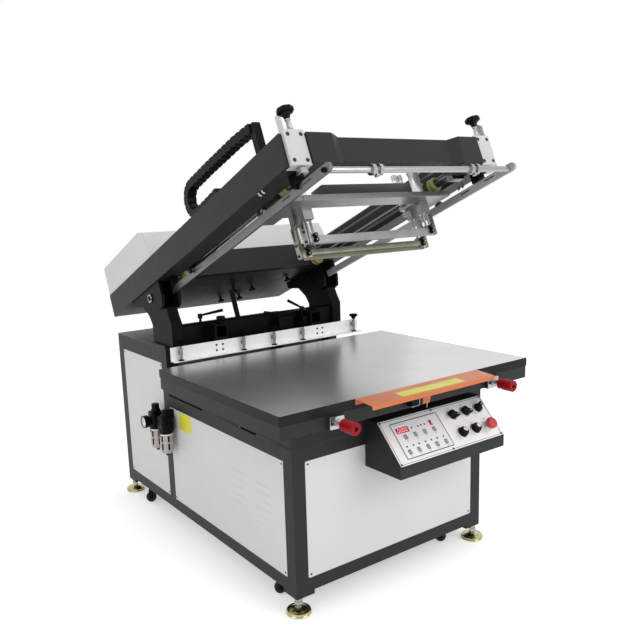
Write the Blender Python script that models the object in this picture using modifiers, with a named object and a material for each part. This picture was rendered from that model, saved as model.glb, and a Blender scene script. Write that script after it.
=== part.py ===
# Flatbed screen printing machine: a welded base with a rear cabinet, a flat print table,
# and a print head that tilts up on two brackets and carries the squeegee carriage.
# Metres, +Z up. The front faces -Y. The origin is on the floor, mid-way along and across.
import math

import bmesh
import bpy
from mathutils import Matrix, Vector

for old in list(bpy.data.objects):
    bpy.data.objects.remove(old, do_unlink=True)

# Gap between touching pieces, and running clearance round shafts, pins and piston rods.
GAP = 0.0003
RUN = 0.0008

# Table. All y positions below are measured from its front edge.
TABLE_W = 1.222
TABLE_D = 0.884
TABLE_TOP = 0.800
PLATE_T = 0.0345
BED_T = 0.0477
BED_INSET = 0.003
CARRIER_T = 0.088
CARRIER_TUBE = 0.050

# Base and rear cabinet.
BASE_W = 0.964
BASE_FRONT = 0.129
BASE_REAR = 1.640
BASE_TOP = 0.621
TUBE = 0.055
RAIL = 0.050
FOOT_H = 0.0643
PAD_T = 0.016
PAD_W = 0.080
MID_POST = 1.088
CABINET_TOP = 0.833
CABINET_RAIL = 0.070
RAISED_TOP = 0.846
RAISED_H = 0.083
RAISED_FRONT = 1.094
RAISED_REAR = 1.229
PANEL_T = 0.002
PANEL_INSET = 0.001
PANEL_R = 0.006
LID_T = 0.0027

# Feet and casters.
FOOT_R = 0.040
FOOT_IN = 0.021
WHEEL_R = 0.025
WHEEL_W = 0.018
TRAIL = 0.020

# Head pivot, and the head measured from that pivot with the head level.
PIVOT_Y = 1.190
PIVOT_Z = 1.053
HEAD_TILT = 22.5
HEAD_FRONT = -1.227
HEAD_REAR = 0.461
HEAD_OUT = 0.496
BEAM_W = 0.0935
BEAM_LOW = 0.047
BEAM_H = 0.1125
SLEEVE_OUT = 0.021
SLEEVE_IN = 0.291
SLEEVE_REAR = 0.090
FRONT_BEAM_D = 0.080
NOTCH_D = 0.030
NOTCH_WALL = 0.0125
BLOCK_OUT = 0.013
BLOCK_UP = 0.011
BOX_FRONT = -0.125
WALL = 0.004
HOOD_H = 0.142
POST_X0 = 0.418
POST_X1 = 0.470
POST_FRONT = 1.035
POST_REAR = 1.235
POST_EAR = 0.125
POST_EAR_Z = 0.925
POST_EAR_H = 0.089
POST_HEAD_R = 0.030
POST_NECK = 0.070
PIN_R = 0.012
CHEEK_T = 0.014
CHEEK_GAP = 0.006

# Print carriage on its two guide shafts.
SHAFT_X = 0.360
SHAFT_Z = 0.067
SHAFT_R = 0.0125
BUFFER_R = 0.027
BUFFER_L = 0.035
BUFFER_GAP = 0.020
CARRIAGE_IN = 0.165
BEARING_IN = 0.084
CLAMP_L = 0.046
CLAMP_SPACE = 0.025
CARRIAGE_D = 0.072
CARRIAGE_Z = 0.003
CARRIAGE_T = 0.020
CARRIAGE_HALF = 0.335
COVER_HALF = 0.216
COVER_H = 0.050
BEARING_L = 0.070
LIFT_X = 0.288
LIFT_R = 0.024
LIFT_TOP = 0.150
LIFT_DROP = 0.045
GUIDE_R = 0.0045
GUIDE_GAP = 0.010
FLOOD_IN = 0.072
SQUEEGEE_IN = 0.135
FLOOD_LOW = -0.135
FLOOD_H = 0.030
SQUEEGEE_LOW = -0.167
SQUEEGEE_H = 0.034
BLADE_HALF = 0.296
HANGER_X = 0.3145

# Screen arms, the rod between them, and the height screws that carry the screen.
ARM_X = 0.430
ARM_T = 0.012
ARM_LOW = -0.023
ARM_H = 0.045
ARM_OUT = 0.128
ARM_REAR = -0.118
ARM_KNOB_Y = -0.320
ARM_KNOB_Z = 0.010
ARM_KNOB_R = 0.013
HANGER_L = 0.042
HANGER_FRONT = 0.030
HANGER_REAR = 0.045
SLOT_L = 0.050
SLOT_FRONT = -0.028
SLOT_MID = 0.100
SLOT_REAR = -0.430
ROD_OUT = 0.099
ROD_Z = -0.010
ROD_R = 0.0105
SPINDLE_X = 0.441
SPINDLE_R = 0.006
GRIP_R = 0.0255
GRIP_H = 0.030
GRIP_UP = 0.062

# Cable chain on the left beam.
CHAIN_X = -0.449
CHAIN_W = 0.040
CHAIN_T = 0.034
CHAIN_PITCH = 0.034
CHAIN_BEND = 0.060
CHAIN_IN = 0.672
CHAIN_RUN = 0.185

# Lifting cylinder on the left, behind the pivot.
LIFT_ARM = 0.103
LIFT_SET = -0.011
CYL_X = -0.362
CYL_R = 0.0105
CYL_TOP = 0.998
CYL_ROD_R = 0.0045
EYE_PIN_R = 0.004
EYE_T = 0.008
EYE_SLOT = 0.004

# Register bar behind the table.
REGISTER_Y = 0.961
REGISTER_L = 1.034
REGISTER_H = 0.060
REGISTER_D = 0.037
REGISTER_T = 0.004
PLUNGER_END = 0.478
PLUNGER_MID = 0.165

# Cross beam behind the register bar.
BEAM_Y0 = 1.050
BEAM_Y1 = 1.110
CROSS_TOP = 0.930
STUB_X = 0.263
STUB_W = 0.066
STUB_H = 0.065
STUB_WALL = 0.008
LEVER_1 = (-0.310, 0.022, 0.040)
LEVER_2 = (0.078, -0.030, 0.008)
LEVER_3 = (0.211, -0.035, 0.021)
CLAMP_1_X0 = 0.066
CLAMP_1_X1 = 0.149
CLAMP_1_IN = 0.055
CLAMP_1_DOWN = 0.013
CLAMP_2_X0 = 0.197
CLAMP_2_X1 = 0.225
CLAMP_2_IN = 0.065
CLAMP_2_DOWN = 0.022
CLAMP_H = 0.055
LEVER_L = 0.105
LEVER_SHORT = 0.083
TKNOB_R = 0.0205
TKNOB_IN = 0.050
PROP_X = -0.110
PROP_W = 0.024
PROP_LEAN = 0.030
PROP_TOP = 1.062

# Screws that shift the table, and the bracket of the switch under the guard strip.
SCREW_X = 0.390
SCREW_UP = 0.022
BEARING_OUT = 0.010
KNOB_R = 0.022
SWITCH_X0 = -0.042
SWITCH_X1 = 0.028
SWITCH_OUT = 0.030

# Control box on the front.
BOX_X0 = -0.152
BOX_X1 = 0.400
BOX_LOW = 0.488
BOX_TOP = 0.668
BOX_OUT = 0.189
LIP_H = 0.044
LEDGE = 0.061
FACE_T = 0.002
ROW_HIGH = 0.134
ROW_LOW = 0.057
SWITCH_FIRST = 0.203
SWITCH_STEP = 0.072
STOP_STEM = 0.010

# Guard strip along the table's front edge.
STRIP_L = 0.606
STRIP_OUT = 0.090

# Air filter and regulator on the left middle post.
AIR_OUT = 0.042
AIR_TOP = 0.545
AIR_LOW = 0.480
AIR_SPACE = 0.045

# The knobs reach furthest forward and the raised head's hood furthest back,
# and the origin comes under the middle between them.
KNOB_OUT = 0.110
TILT = math.radians(HEAD_TILT)
hood_rear = HEAD_REAR + 0.003
hood_top = BEAM_LOW + BEAM_H + HOOD_H
rear_most = PIVOT_Y + hood_rear * math.cos(TILT) + hood_top * math.sin(TILT)
MID_DEPTH = (rear_most - KNOB_OUT) / 2


def collection(name):
    made = bpy.data.collections.new(name)
    bpy.context.scene.collection.children.link(made)
    return made


parts = collection("flatbed_screen_printer")


def paint(name, colour, rough, metal=0.0):
    mat = bpy.data.materials.new(name)
    mat.use_nodes = True
    shader = mat.node_tree.nodes["Principled BSDF"]
    shader.inputs["Base Color"].default_value = (*colour, 1.0)
    shader.inputs["Roughness"].default_value = rough
    shader.inputs["Metallic"].default_value = metal
    return mat


charcoal = paint("charcoal paint", (0.055, 0.058, 0.060), 0.45)
sheet_grey = paint("light grey sheet", (0.62, 0.64, 0.62), 0.50)
table_steel = paint("ground steel", (0.12, 0.12, 0.125), 0.32, 0.7)
white_paint = paint("white paint", (0.85, 0.84, 0.83), 0.40)
black_cast = paint("black casting", (0.012, 0.012, 0.013), 0.40)
black_plastic = paint("black plastic", (0.010, 0.010, 0.010), 0.35)
bright = paint("bright steel", (0.62, 0.62, 0.63), 0.25, 1.0)
alloy = paint("aluminium", (0.55, 0.55, 0.54), 0.38, 1.0)
zinc = paint("yellow zinc", (0.50, 0.40, 0.20), 0.35, 1.0)
orange = paint("orange paint", (0.85, 0.22, 0.06), 0.40)
red = paint("red plastic", (0.60, 0.02, 0.02), 0.35)
rubber = paint("black rubber", (0.015, 0.015, 0.015), 0.70)


def empty(name, location, turn=(0.0, 0.0, 0.0), parent=None):
    made = bpy.data.objects.new(name, None)
    parts.objects.link(made)
    made.location = location
    made.rotation_euler = turn
    made.parent = parent
    return made


root = empty("machine", (0.0, -MID_DEPTH, 0.0))
head = empty("head_pivot", (0.0, PIVOT_Y, PIVOT_Z), (math.radians(-HEAD_TILT), 0.0, 0.0), root)


def piece(bm):
    mesh = bpy.data.meshes.new("shape")
    bm.to_mesh(mesh)
    bm.free()
    made = bpy.data.objects.new("shape", mesh)
    parts.objects.link(made)
    return made


def frozen(obj):
    # The object as its modifiers shape it, as a plain mesh with its caps welded.
    graph = bpy.context.evaluated_depsgraph_get()
    mesh = bpy.data.meshes.new_from_object(obj.evaluated_get(graph))
    bm = bmesh.new()
    bm.from_mesh(mesh)
    bmesh.ops.remove_doubles(bm, verts=bm.verts, dist=0.00001)
    made = piece(bm)
    made.matrix_world = obj.matrix_world.copy()
    bpy.data.objects.remove(obj, do_unlink=True)
    return made


def moved(obj, matrix):
    obj.data.transform(matrix)
    return obj


def block(x0, x1, y0, y1, z0, z1, edge=0.0):
    bm = bmesh.new()
    bmesh.ops.create_cube(bm, size=1.0)
    bmesh.ops.scale(bm, vec=(x1 - x0, y1 - y0, z1 - z0), verts=bm.verts)
    bmesh.ops.translate(bm, vec=((x0 + x1) / 2, (y0 + y1) / 2, (z0 + z1) / 2), verts=bm.verts)
    if edge > 0.0:
        bmesh.ops.bevel(bm, geom=bm.edges[:], offset=edge, segments=1, affect="EDGES")
    return piece(bm)


def rod(start, end, radius, sides=16, end_radius=None):
    start = Vector(start)
    run = Vector(end) - start
    bm = bmesh.new()
    second = radius if end_radius is None else end_radius
    bmesh.ops.create_cone(
        bm, cap_ends=True, segments=sides, radius1=radius, radius2=second, depth=run.length
    )
    turn = run.to_track_quat("Z", "Y").to_matrix().to_4x4()
    place = Matrix.Translation(start + run / 2) @ turn
    bmesh.ops.transform(bm, matrix=place, verts=bm.verts)
    return piece(bm)


def outline(points, low, high, plane="YZ"):
    # A flat outline given thickness: YZ goes along X, XZ along Y and XY along Z.
    curve = bpy.data.curves.new("outline", "CURVE")
    curve.dimensions = "2D"
    curve.fill_mode = "BOTH"
    curve.extrude = (high - low) / 2
    spline = curve.splines.new("POLY")
    spline.points.add(len(points) - 1)
    for point, (u, v) in zip(spline.points, points):
        point.co = (u, v, 0.0, 1.0)
    spline.use_cyclic_u = True
    made = bpy.data.objects.new("outline", curve)
    parts.objects.link(made)
    made = frozen(made)
    middle = (low + high) / 2
    if plane == "YZ":
        turn = Matrix(((0, 0, 1, 0), (1, 0, 0, 0), (0, 1, 0, 0), (0, 0, 0, 1)))
        place = Matrix.Translation((middle, 0, 0)) @ turn
    elif plane == "XZ":
        turn = Matrix(((1, 0, 0, 0), (0, 0, -1, 0), (0, 1, 0, 0), (0, 0, 0, 1)))
        place = Matrix.Translation((0, middle, 0)) @ turn
    else:
        place = Matrix.Translation((0, 0, middle))
    return moved(made, place)


def turned(profile, sides=24):
    # A turned shape about Z from (radius, height) points, listed from the top down.
    bm = bmesh.new()
    verts = [bm.verts.new((radius, 0.0, height)) for radius, height in profile]
    for first, second in zip(verts, verts[1:]):
        bm.edges.new((first, second))
    made = piece(bm)
    screw = made.modifiers.new("turn", "SCREW")
    screw.axis = "Z"
    screw.steps = sides
    screw.render_steps = sides
    screw.use_merge_vertices = True
    screw.merge_threshold = 0.00001
    return frozen(made)


def combined(first, others, operation):
    for other in others:
        other.hide_render = True
        change = first.modifiers.new("join", "BOOLEAN")
        change.operation = operation
        change.solver = "EXACT"
        change.object = other
    made = frozen(first) if others else first
    for other in others:
        bpy.data.objects.remove(other, do_unlink=True)
    return made


def union(shapes):
    return combined(shapes[0], shapes[1:], "UNION")


def cut(shape, cutters):
    return combined(shape, cutters, "DIFFERENCE")


def part(name, shape, mat, parent=root, origin=(0.0, 0.0, 0.0), smooth=False):
    # The shape becomes a named part whose own origin is the given point.
    shape.name = name
    shape.data.name = name
    moved(shape, Matrix.Translation(-Vector(origin)))
    shape.location = origin
    shape.parent = parent
    shape.data.materials.clear()
    shape.data.materials.append(mat)
    if smooth:
        shape.data.shade_smooth()
        shape.data.set_sharp_from_angle(angle=math.radians(35))
    return shape


def arc(centre, radius, start, end, steps):
    points = []
    for step in range(steps + 1):
        angle = math.radians(start + (end - start) * step / steps)
        points.append((centre[0] + radius * math.cos(angle), centre[1] + radius * math.sin(angle)))
    return points


def rounded(u0, u1, v0, v1, radius, steps=3):
    # A rectangle with quarter-round corners.
    points = arc((u1 - radius, v0 + radius), radius, -90, 0, steps)
    points += arc((u1 - radius, v1 - radius), radius, 0, 90, steps)
    points += arc((u0 + radius, v1 - radius), radius, 90, 180, steps)
    points += arc((u0 + radius, v0 + radius), radius, 180, 270, steps)
    return points


def lobed(centre, radius, lobes, depth, steps=6):
    # The outline of a hand grip with shallow flutes between its lobes.
    points = []
    count = lobes * steps
    for step in range(count):
        angle = 2 * math.pi * step / count
        reach = radius - depth * (1 - abs(math.cos(lobes * angle / 2)))
        points.append((centre[0] + reach * math.cos(angle), centre[1] + reach * math.sin(angle)))
    return points


def mirrored(points):
    # A right-hand half outline, from the front end round to the rear, with its left half added.
    return points + [(-u, v) for u, v in reversed(points)]


def side(x0, x1, sign):
    # A pair of x positions on the left (-1) or right (1), in rising order.
    return (x0, x1) if sign > 0 else (-x1, -x0)


SIDES = (("left", -1), ("right", 1))

# Base frame: posts, rails, the raised cross beam of the cabinet and the foot pads.
half = BASE_W / 2
rail_low = FOOT_H + PAD_T
post_low = rail_low - GAP
shapes = []
for _, sign in SIDES:
    x0, x1 = side(half - TUBE, half, sign)
    shapes.append(block(x0, x1, BASE_FRONT, BASE_FRONT + TUBE, post_low, BASE_TOP))
    shapes.append(block(x0, x1, MID_POST, MID_POST + TUBE, rail_low, CABINET_TOP))
    shapes.append(block(x0, x1, BASE_REAR - TUBE, BASE_REAR, post_low, CABINET_TOP))
    shapes.append(block(x0, x1, BASE_FRONT, BASE_REAR, rail_low, rail_low + RAIL))
    shapes.append(block(x0, x1, BASE_FRONT, MID_POST + TUBE, BASE_TOP - RAIL, BASE_TOP))
    shapes.append(block(x0, x1, MID_POST, BASE_REAR, CABINET_TOP - CABINET_RAIL, CABINET_TOP))
    px0, px1 = side(half - PAD_W, half, sign)
    shapes.append(block(px0, px1, BASE_FRONT, BASE_FRONT + PAD_W, FOOT_H, rail_low))
    shapes.append(block(px0, px1, BASE_REAR - PAD_W, BASE_REAR, FOOT_H, rail_low))
shapes.append(block(-half, half, BASE_FRONT, BASE_FRONT + TUBE, rail_low, rail_low + RAIL))
shapes.append(block(-half, half, BASE_FRONT, BASE_FRONT + TUBE, BASE_TOP - RAIL, BASE_TOP))
shapes.append(block(-half, half, BASE_REAR - TUBE, BASE_REAR, rail_low, rail_low + RAIL))
shapes.append(
    block(-half, half, BASE_REAR - TUBE, BASE_REAR, CABINET_TOP - CABINET_RAIL, CABINET_TOP)
)
shapes.append(block(-half, half, RAISED_FRONT, RAISED_REAR, RAISED_TOP - RAISED_H, RAISED_TOP))
part("base_frame", union(shapes), charcoal)

# Sheet panels with rounded corners, let into the openings of the frame.
low = rail_low + RAIL + GAP
front_top = BASE_TOP - RAIL - GAP
cab_top = CABINET_TOP - CABINET_RAIL - GAP
inner = half - TUBE - GAP
sheet = rounded(-inner, inner, low, front_top, PANEL_R)
panel_y = BASE_FRONT + PANEL_INSET
part("front_panel", outline(sheet, panel_y, panel_y + PANEL_T, "XZ"), sheet_grey)
sheet = rounded(-inner, inner, low, cab_top, PANEL_R)
panel_y = BASE_REAR - PANEL_INSET
part("rear_panel", outline(sheet, panel_y - PANEL_T, panel_y, "XZ"), sheet_grey)
for label, sign in SIDES:
    x0, x1 = side(half - PANEL_INSET - PANEL_T, half - PANEL_INSET, sign)
    sheet = rounded(BASE_FRONT + TUBE + GAP, MID_POST - GAP, low, front_top, PANEL_R)
    part("side_panel_front_" + label, outline(sheet, x0, x1), sheet_grey)
    top = min(RAISED_TOP - RAISED_H - GAP, cab_top)
    sheet = rounded(MID_POST + TUBE + GAP, BASE_REAR - TUBE - GAP, low, top, PANEL_R)
    part("side_panel_rear_" + label, outline(sheet, x0, x1), sheet_grey)
cyl_y = PIVOT_Y + LIFT_ARM
lid = block(-half, half, RAISED_REAR + GAP, BASE_REAR, CABINET_TOP + GAP, CABINET_TOP + GAP + LID_T)
passage = rod((CYL_X, cyl_y, CABINET_TOP - 0.02), (CYL_X, cyl_y, CABINET_TOP + 0.02), CYL_R + RUN, 24)
part("cabinet_top", cut(lid, [passage]), sheet_grey)

# Table: ground top plate, the bed below it, and the carrier ring that stands on the base.
bed_top = TABLE_TOP - PLATE_T - GAP
bed_low = bed_top - BED_T
table_half = TABLE_W / 2
part(
    "table_top",
    block(-table_half, table_half, 0.0, TABLE_D, TABLE_TOP - PLATE_T, TABLE_TOP, 0.0015),
    table_steel,
)
bed_half = table_half - BED_INSET
bed = [block(-bed_half, bed_half, BED_INSET, TABLE_D - BED_INSET, bed_low, bed_top)]
screw_z = bed_low + SCREW_UP
for _, sign in SIDES:
    x0, x1 = side(SCREW_X - 0.030, SCREW_X + 0.030, sign)
    bed.append(block(x0, x1, -BEARING_OUT, BED_INSET + 0.01, bed_low - 0.002, bed_top - 0.003, 0.001))
switch_y = -SWITCH_OUT
bed.append(block(SWITCH_X0, SWITCH_X1, switch_y, BED_INSET + 0.01, bed_low + 0.016, bed_top - 0.004))
x0, x1 = SWITCH_X0 + 0.012, SWITCH_X1 - 0.012
bed.append(block(x0, x1, switch_y + 0.004, -0.004, bed_top - 0.01, bed_top + 0.012))
part("table_bed", union(bed), charcoal)
carrier_top = bed_low - GAP
carrier_low = carrier_top - CARRIER_T
ring_rear = MID_POST - 0.003
ring_half = half - CARRIER_TUBE
ring = cut(
    block(-half, half, BASE_FRONT, ring_rear, carrier_low, carrier_top),
    [
        block(
            -ring_half,
            ring_half,
            BASE_FRONT + CARRIER_TUBE,
            ring_rear - CARRIER_TUBE,
            carrier_low - 0.01,
            carrier_top + 0.01,
        )
    ],
)
pads = []
for _, sign in SIDES:
    for y in (BASE_FRONT + 0.03, (BASE_FRONT + MID_POST) / 2, MID_POST - 0.10):
        x0, x1 = side(half - 0.045, half - 0.010, sign)
        pads.append(block(x0, x1, y, y + 0.06, BASE_TOP + GAP, carrier_low + 0.002))
part("table_carrier", union([ring] + pads), charcoal)

# Hand knobs that shift the table, each on a screw in its front bearing plate.
for label, sign in SIDES:
    place = Matrix.Translation((sign * SCREW_X, 0.0, screw_z)) @ Matrix.Rotation(math.pi / 2, 4, "X")
    reach = KNOB_OUT
    seat = BEARING_OUT + GAP
    shape = turned(
        [
            (0.0, reach - 0.010),
            (0.008, reach - 0.010),
            (0.008, reach),
            (KNOB_R - 0.002, reach),
            (KNOB_R, reach - 0.002),
            (KNOB_R, reach - 0.046),
            (KNOB_R - 0.003, reach - 0.048),
            (KNOB_R - 0.003, reach - 0.054),
            (KNOB_R - 0.001, reach - 0.064),
            (0.007, reach - 0.064),
            (0.007, seat + 0.010),
            (0.013, seat + 0.010),
            (0.013, seat),
            (0.0, seat),
        ],
        18,
    )
    shape = moved(shape, place)
    part("adjust_knob_" + label, shape, red, origin=(sign * SCREW_X, -BEARING_OUT, screw_z), smooth=True)

# Register bar: a white angle held by the cross beam, with five plungers under hand knobs.
reg_low = TABLE_TOP + 0.0035
bar_y1 = REGISTER_Y + REGISTER_T
bar_half = REGISTER_L / 2
section = [
    (bar_y1, reg_low),
    (bar_y1, reg_low + REGISTER_H),
    (REGISTER_Y, reg_low + REGISTER_H),
    (REGISTER_Y, reg_low + 0.003),
    (bar_y1 - REGISTER_D - REGISTER_T, reg_low + 0.003),
    (bar_y1 - REGISTER_D - REGISTER_T, reg_low),
]
bar = [outline(section, -bar_half, bar_half)]
plunger_y = REGISTER_Y - REGISTER_D / 2
plunger = [
    (0.0, 0.090),
    (0.014, 0.090),
    (0.018, 0.086),
    (0.018, 0.072),
    (0.006, 0.067),
    (0.008, 0.059),
    (0.008, 0.010),
    (0.014, 0.008),
    (0.014, 0.002),
    (0.0, 0.002),
]
for x in (-PLUNGER_END, -PLUNGER_MID, 0.0, PLUNGER_MID, PLUNGER_END):
    shape = turned(plunger, 10)
    bar.append(moved(shape, Matrix.Translation((x, plunger_y, reg_low))))
    bar.append(block(x - 0.005, x + 0.005, plunger_y, REGISTER_Y + 0.002, reg_low + 0.030, reg_low + 0.046))
holes = []
for _, sign in SIDES:
    for dx in (-0.016, 0.016):
        for z in (reg_low + 0.018, reg_low + 0.042):
            x = sign * (STUB_X + 0.016) + dx
            holes.append(rod((x, REGISTER_Y - 0.01, z), (x, REGISTER_Y + 0.002, z), 0.0035, 6))
part("register_bar", cut(union(bar), holes), white_paint)

# Black cross beam behind the register bar, between the hinge posts, with two square stubs
# that hold the bar, three clamp levers and the head's prop, leaning at the middle.
beam_low = RAISED_TOP + GAP
beam_end = POST_X0 - GAP
beam = [block(-beam_end, beam_end, BEAM_Y0, BEAM_Y1, beam_low, CROSS_TOP)]
stub_y = bar_y1 + GAP
stub_top = CROSS_TOP + 0.004
stub_low = stub_top - STUB_H
for _, sign in SIDES:
    x0, x1 = side(STUB_X - STUB_W / 2, STUB_X + STUB_W / 2, sign)
    beam.append(block(x0, x1, stub_y, BEAM_Y0 + 0.01, stub_low, stub_top))
    beam.append(block(x0, x1, stub_y, stub_y + 0.012, reg_low + 0.004, stub_low + 0.01))
for x0, x1, y, top in (
    (CLAMP_1_X0, CLAMP_1_X1, BEAM_Y0 - CLAMP_1_IN, CROSS_TOP - CLAMP_1_DOWN),
    (CLAMP_2_X0, CLAMP_2_X1, BEAM_Y0 - CLAMP_2_IN, CROSS_TOP - CLAMP_2_DOWN),
):
    beam.append(block(x0, x1, y, BEAM_Y0 + 0.01, top - CLAMP_H, top, 0.002))


def lever(foot, top, tip):
    # A clamp lever: a stud with a hub, and a handle that thickens towards its tip.
    foot, top, tip = Vector(foot), Vector(top), Vector(tip)
    return [
        rod(foot, top, 0.006, 10),
        rod(top - (top - foot).normalized() * 0.016, top + Vector((0, 0, 0.004)), 0.011, 12),
        rod(top - Vector((0, 0, 0.003)), tip, 0.005, 10, 0.0075),
    ]


x, y, z = LEVER_1[0], BEAM_Y0 + LEVER_1[1], CROSS_TOP + LEVER_1[2]
beam += lever((x, y, CROSS_TOP - 0.004), (x, y, z), (x + LEVER_L, y - 0.022, z + 0.012))
x, y, z = LEVER_2[0], BEAM_Y0 + LEVER_2[1], CROSS_TOP + LEVER_2[2]
beam += lever((x, y, z - 0.026), (x, y, z), (x - LEVER_SHORT, y - 0.010, z + 0.013))
x, y, z = LEVER_3[0], BEAM_Y0 + LEVER_3[1], CROSS_TOP + LEVER_3[2]
beam += lever((x, y, z - 0.048), (x + 0.004, y, z), (x - LEVER_SHORT, y - 0.010, z + 0.042))
knob = [
    (0.0, TKNOB_R * 1.463),
    (TKNOB_R * 0.878, TKNOB_R * 1.463),
    (TKNOB_R, TKNOB_R * 1.317),
    (TKNOB_R, TKNOB_R * 0.927),
    (TKNOB_R * 0.585, TKNOB_R * 0.634),
    (TKNOB_R * 0.293, TKNOB_R * 0.585),
    (TKNOB_R * 0.293, -TKNOB_R * 0.195),
    (0.0, -TKNOB_R * 0.195),
]
knob_place = Matrix.Translation((-STUB_X + 0.018, BEAM_Y0 - TKNOB_IN, stub_top))
beam.append(moved(turned(knob, 16), knob_place))
prop_y = BEAM_Y1 - 0.018
prop_low = CROSS_TOP - 0.006
prop = [
    (PROP_X, prop_low),
    (PROP_X + PROP_W, prop_low),
    (PROP_X + PROP_W - PROP_LEAN, PROP_TOP),
    (PROP_X - PROP_LEAN, PROP_TOP),
]
beam.append(outline(prop, prop_y, prop_y + 0.006, "XZ"))
hollows = []
for _, sign in SIDES:
    x0, x1 = side(STUB_X - STUB_W / 2 + STUB_WALL, STUB_X + STUB_W / 2 - STUB_WALL, sign)
    hollows.append(
        block(x0, x1, stub_y - 0.01, BEAM_Y0 - 0.005, stub_low + STUB_WALL, stub_top - STUB_WALL)
    )
part("rear_beam", cut(union(beam), hollows), black_cast)

# Hinge posts on the raised beam: waisted castings with a rear ear and a round head.
post_low = RAISED_TOP + GAP
for label, sign in SIDES:
    x0, x1 = side(POST_X0, POST_X1, sign)
    points = [
        (POST_FRONT, post_low),
        (POST_REAR, post_low),
        (POST_REAR, POST_EAR_Z),
        (POST_REAR + POST_HEAD_R, POST_EAR_Z + POST_EAR_H * 0.416),
        (PIVOT_Y + POST_EAR * 1.12, POST_EAR_Z + POST_EAR_H * 0.843),
        (PIVOT_Y + POST_EAR, POST_EAR_Z + POST_EAR_H),
        (PIVOT_Y + POST_HEAD_R * 2, POST_EAR_Z + POST_EAR_H),
    ]
    points += arc((PIVOT_Y, PIVOT_Z), POST_HEAD_R, 10, 170, 8)
    points += [
        (PIVOT_Y - POST_NECK, PIVOT_Z - POST_HEAD_R * 0.733),
        (PIVOT_Y - POST_NECK * 1.6, PIVOT_Z - POST_HEAD_R * 1.1),
        (POST_FRONT + POST_NECK * 0.357, PIVOT_Z - POST_NECK * 0.971),
        (POST_FRONT, POST_EAR_Z + POST_EAR_H * 0.247),
    ]
    bore = rod((x0 - 0.01, PIVOT_Y, PIVOT_Z), (x1 + 0.01, PIVOT_Y, PIVOT_Z), PIN_R + RUN, 24)
    part("hinge_post_" + label, cut(outline(points, x0, x1), [bore]), black_cast)

# Levelling feet: double disc, stem and nut.
corners = []
for label, sign in SIDES:
    corners.append(("front_" + label, sign * (half - FOOT_IN), BASE_FRONT + FOOT_IN))
    corners.append(("rear_" + label, sign * (half - FOOT_IN), BASE_REAR - FOOT_IN))
foot_top = FOOT_H - GAP
foot_profile = [
    (0.0, foot_top),
    (0.015, foot_top),
    (0.015, foot_top - 0.014),
    (0.008, foot_top - 0.014),
    (0.008, 0.030),
    (0.014, 0.026),
    (FOOT_R - 0.006, 0.018),
    (FOOT_R - 0.006, 0.010),
    (FOOT_R, 0.009),
    (FOOT_R, 0.0),
    (0.0, 0.0),
]
for label, x, y in corners:
    shape = moved(turned(foot_profile, 16), Matrix.Translation((x, y, 0.0)))
    part("foot_" + label, shape, zinc, origin=(x, y, 0.0), smooth=True)

# Casters under the rails, each turned on its own kingpin, the machine resting on its feet.
CASTERS = (
    ("front_left", -0.420, 0.290, 70.0),
    ("front_right", 0.335, 0.190, 20.0),
    ("rear_left", -0.450, 1.400, 50.0),
    ("rear_right", 0.440, 1.400, -60.0),
)
axle_z = WHEEL_R + 0.004
for label, x, y, heading in CASTERS:
    turn = math.radians(heading)
    swivel = empty("caster_" + label, (x, y, 0.0), (0.0, 0.0, turn), root)
    top = rail_low - GAP
    cheek = WHEEL_W / 2 + 0.003
    shapes = [rod((0, 0, top - 0.010), (0, 0, top), 0.020, 14)]
    shapes.append(block(-cheek - 0.003, cheek + 0.003, -0.022, TRAIL + 0.008, top - 0.016, top - 0.008))
    ear = arc((TRAIL, axle_z), 0.009, 210, 350, 4)
    ear += [(TRAIL + 0.008, top - 0.012), (-0.018, top - 0.012)]
    for sign in (-1, 1):
        x0, x1 = side(cheek, cheek + 0.003, sign)
        shapes.append(outline(ear, x0, x1))
    shapes.append(rod((-cheek - 0.006, TRAIL, axle_z), (cheek + 0.006, TRAIL, axle_z), 0.0035, 8))
    part("caster_fork_" + label, union(shapes), black_plastic, swivel)
    tread = [
        (0.0042, WHEEL_W / 2),
        (WHEEL_R - 0.003, WHEEL_W / 2),
        (WHEEL_R, WHEEL_W / 2 - 0.003),
        (WHEEL_R, -WHEEL_W / 2 + 0.003),
        (WHEEL_R - 0.003, -WHEEL_W / 2),
        (0.0042, -WHEEL_W / 2),
        (0.0042, WHEEL_W / 2),
    ]
    place = Matrix.Translation((0.0, TRAIL, axle_z)) @ Matrix.Rotation(math.pi / 2, 4, "Y")
    wheel = moved(turned(tread, 20), place)
    part("caster_wheel_" + label, wheel, rubber, swivel, (0.0, TRAIL, axle_z), True)

# Control box: a wedge under the table with a sloping face plate.
face_y0 = BASE_FRONT - BOX_OUT
face_y1 = BASE_FRONT - LEDGE
face_z0 = BOX_LOW + LIP_H
profile = [
    (BASE_FRONT - GAP, BOX_LOW),
    (BASE_FRONT - GAP, BOX_TOP),
    (face_y1, BOX_TOP),
    (face_y0, face_z0),
    (face_y0, BOX_LOW),
]
part("control_box", outline(profile, BOX_X0, BOX_X1), charcoal)
slope = math.atan2(BOX_TOP - face_z0, face_y1 - face_y0)
face_len = math.hypot(BOX_TOP - face_z0, face_y1 - face_y0)
face = empty("panel_face", (0.0, face_y0, face_z0), (slope, 0.0, 0.0), root)
skin = 2 * GAP + FACE_T
stop_x = SWITCH_FIRST + 2 * SWITCH_STEP
stop_y = ROW_LOW - 0.004
plate = rounded(BOX_X0 + 0.004, BOX_X1 - 0.004, 0.003, face_len - 0.003, 0.003, 2)
plate = outline(plate, GAP, GAP + FACE_T, "XY")
guard = rod((stop_x, stop_y, GAP + FACE_T / 2), (stop_x, stop_y, skin + 0.008), 0.017, 24)
well = rod((stop_x, stop_y, GAP + FACE_T * 0.75), (stop_x, stop_y, skin + 0.02), STOP_STEM + 0.0004, 16)
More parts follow.
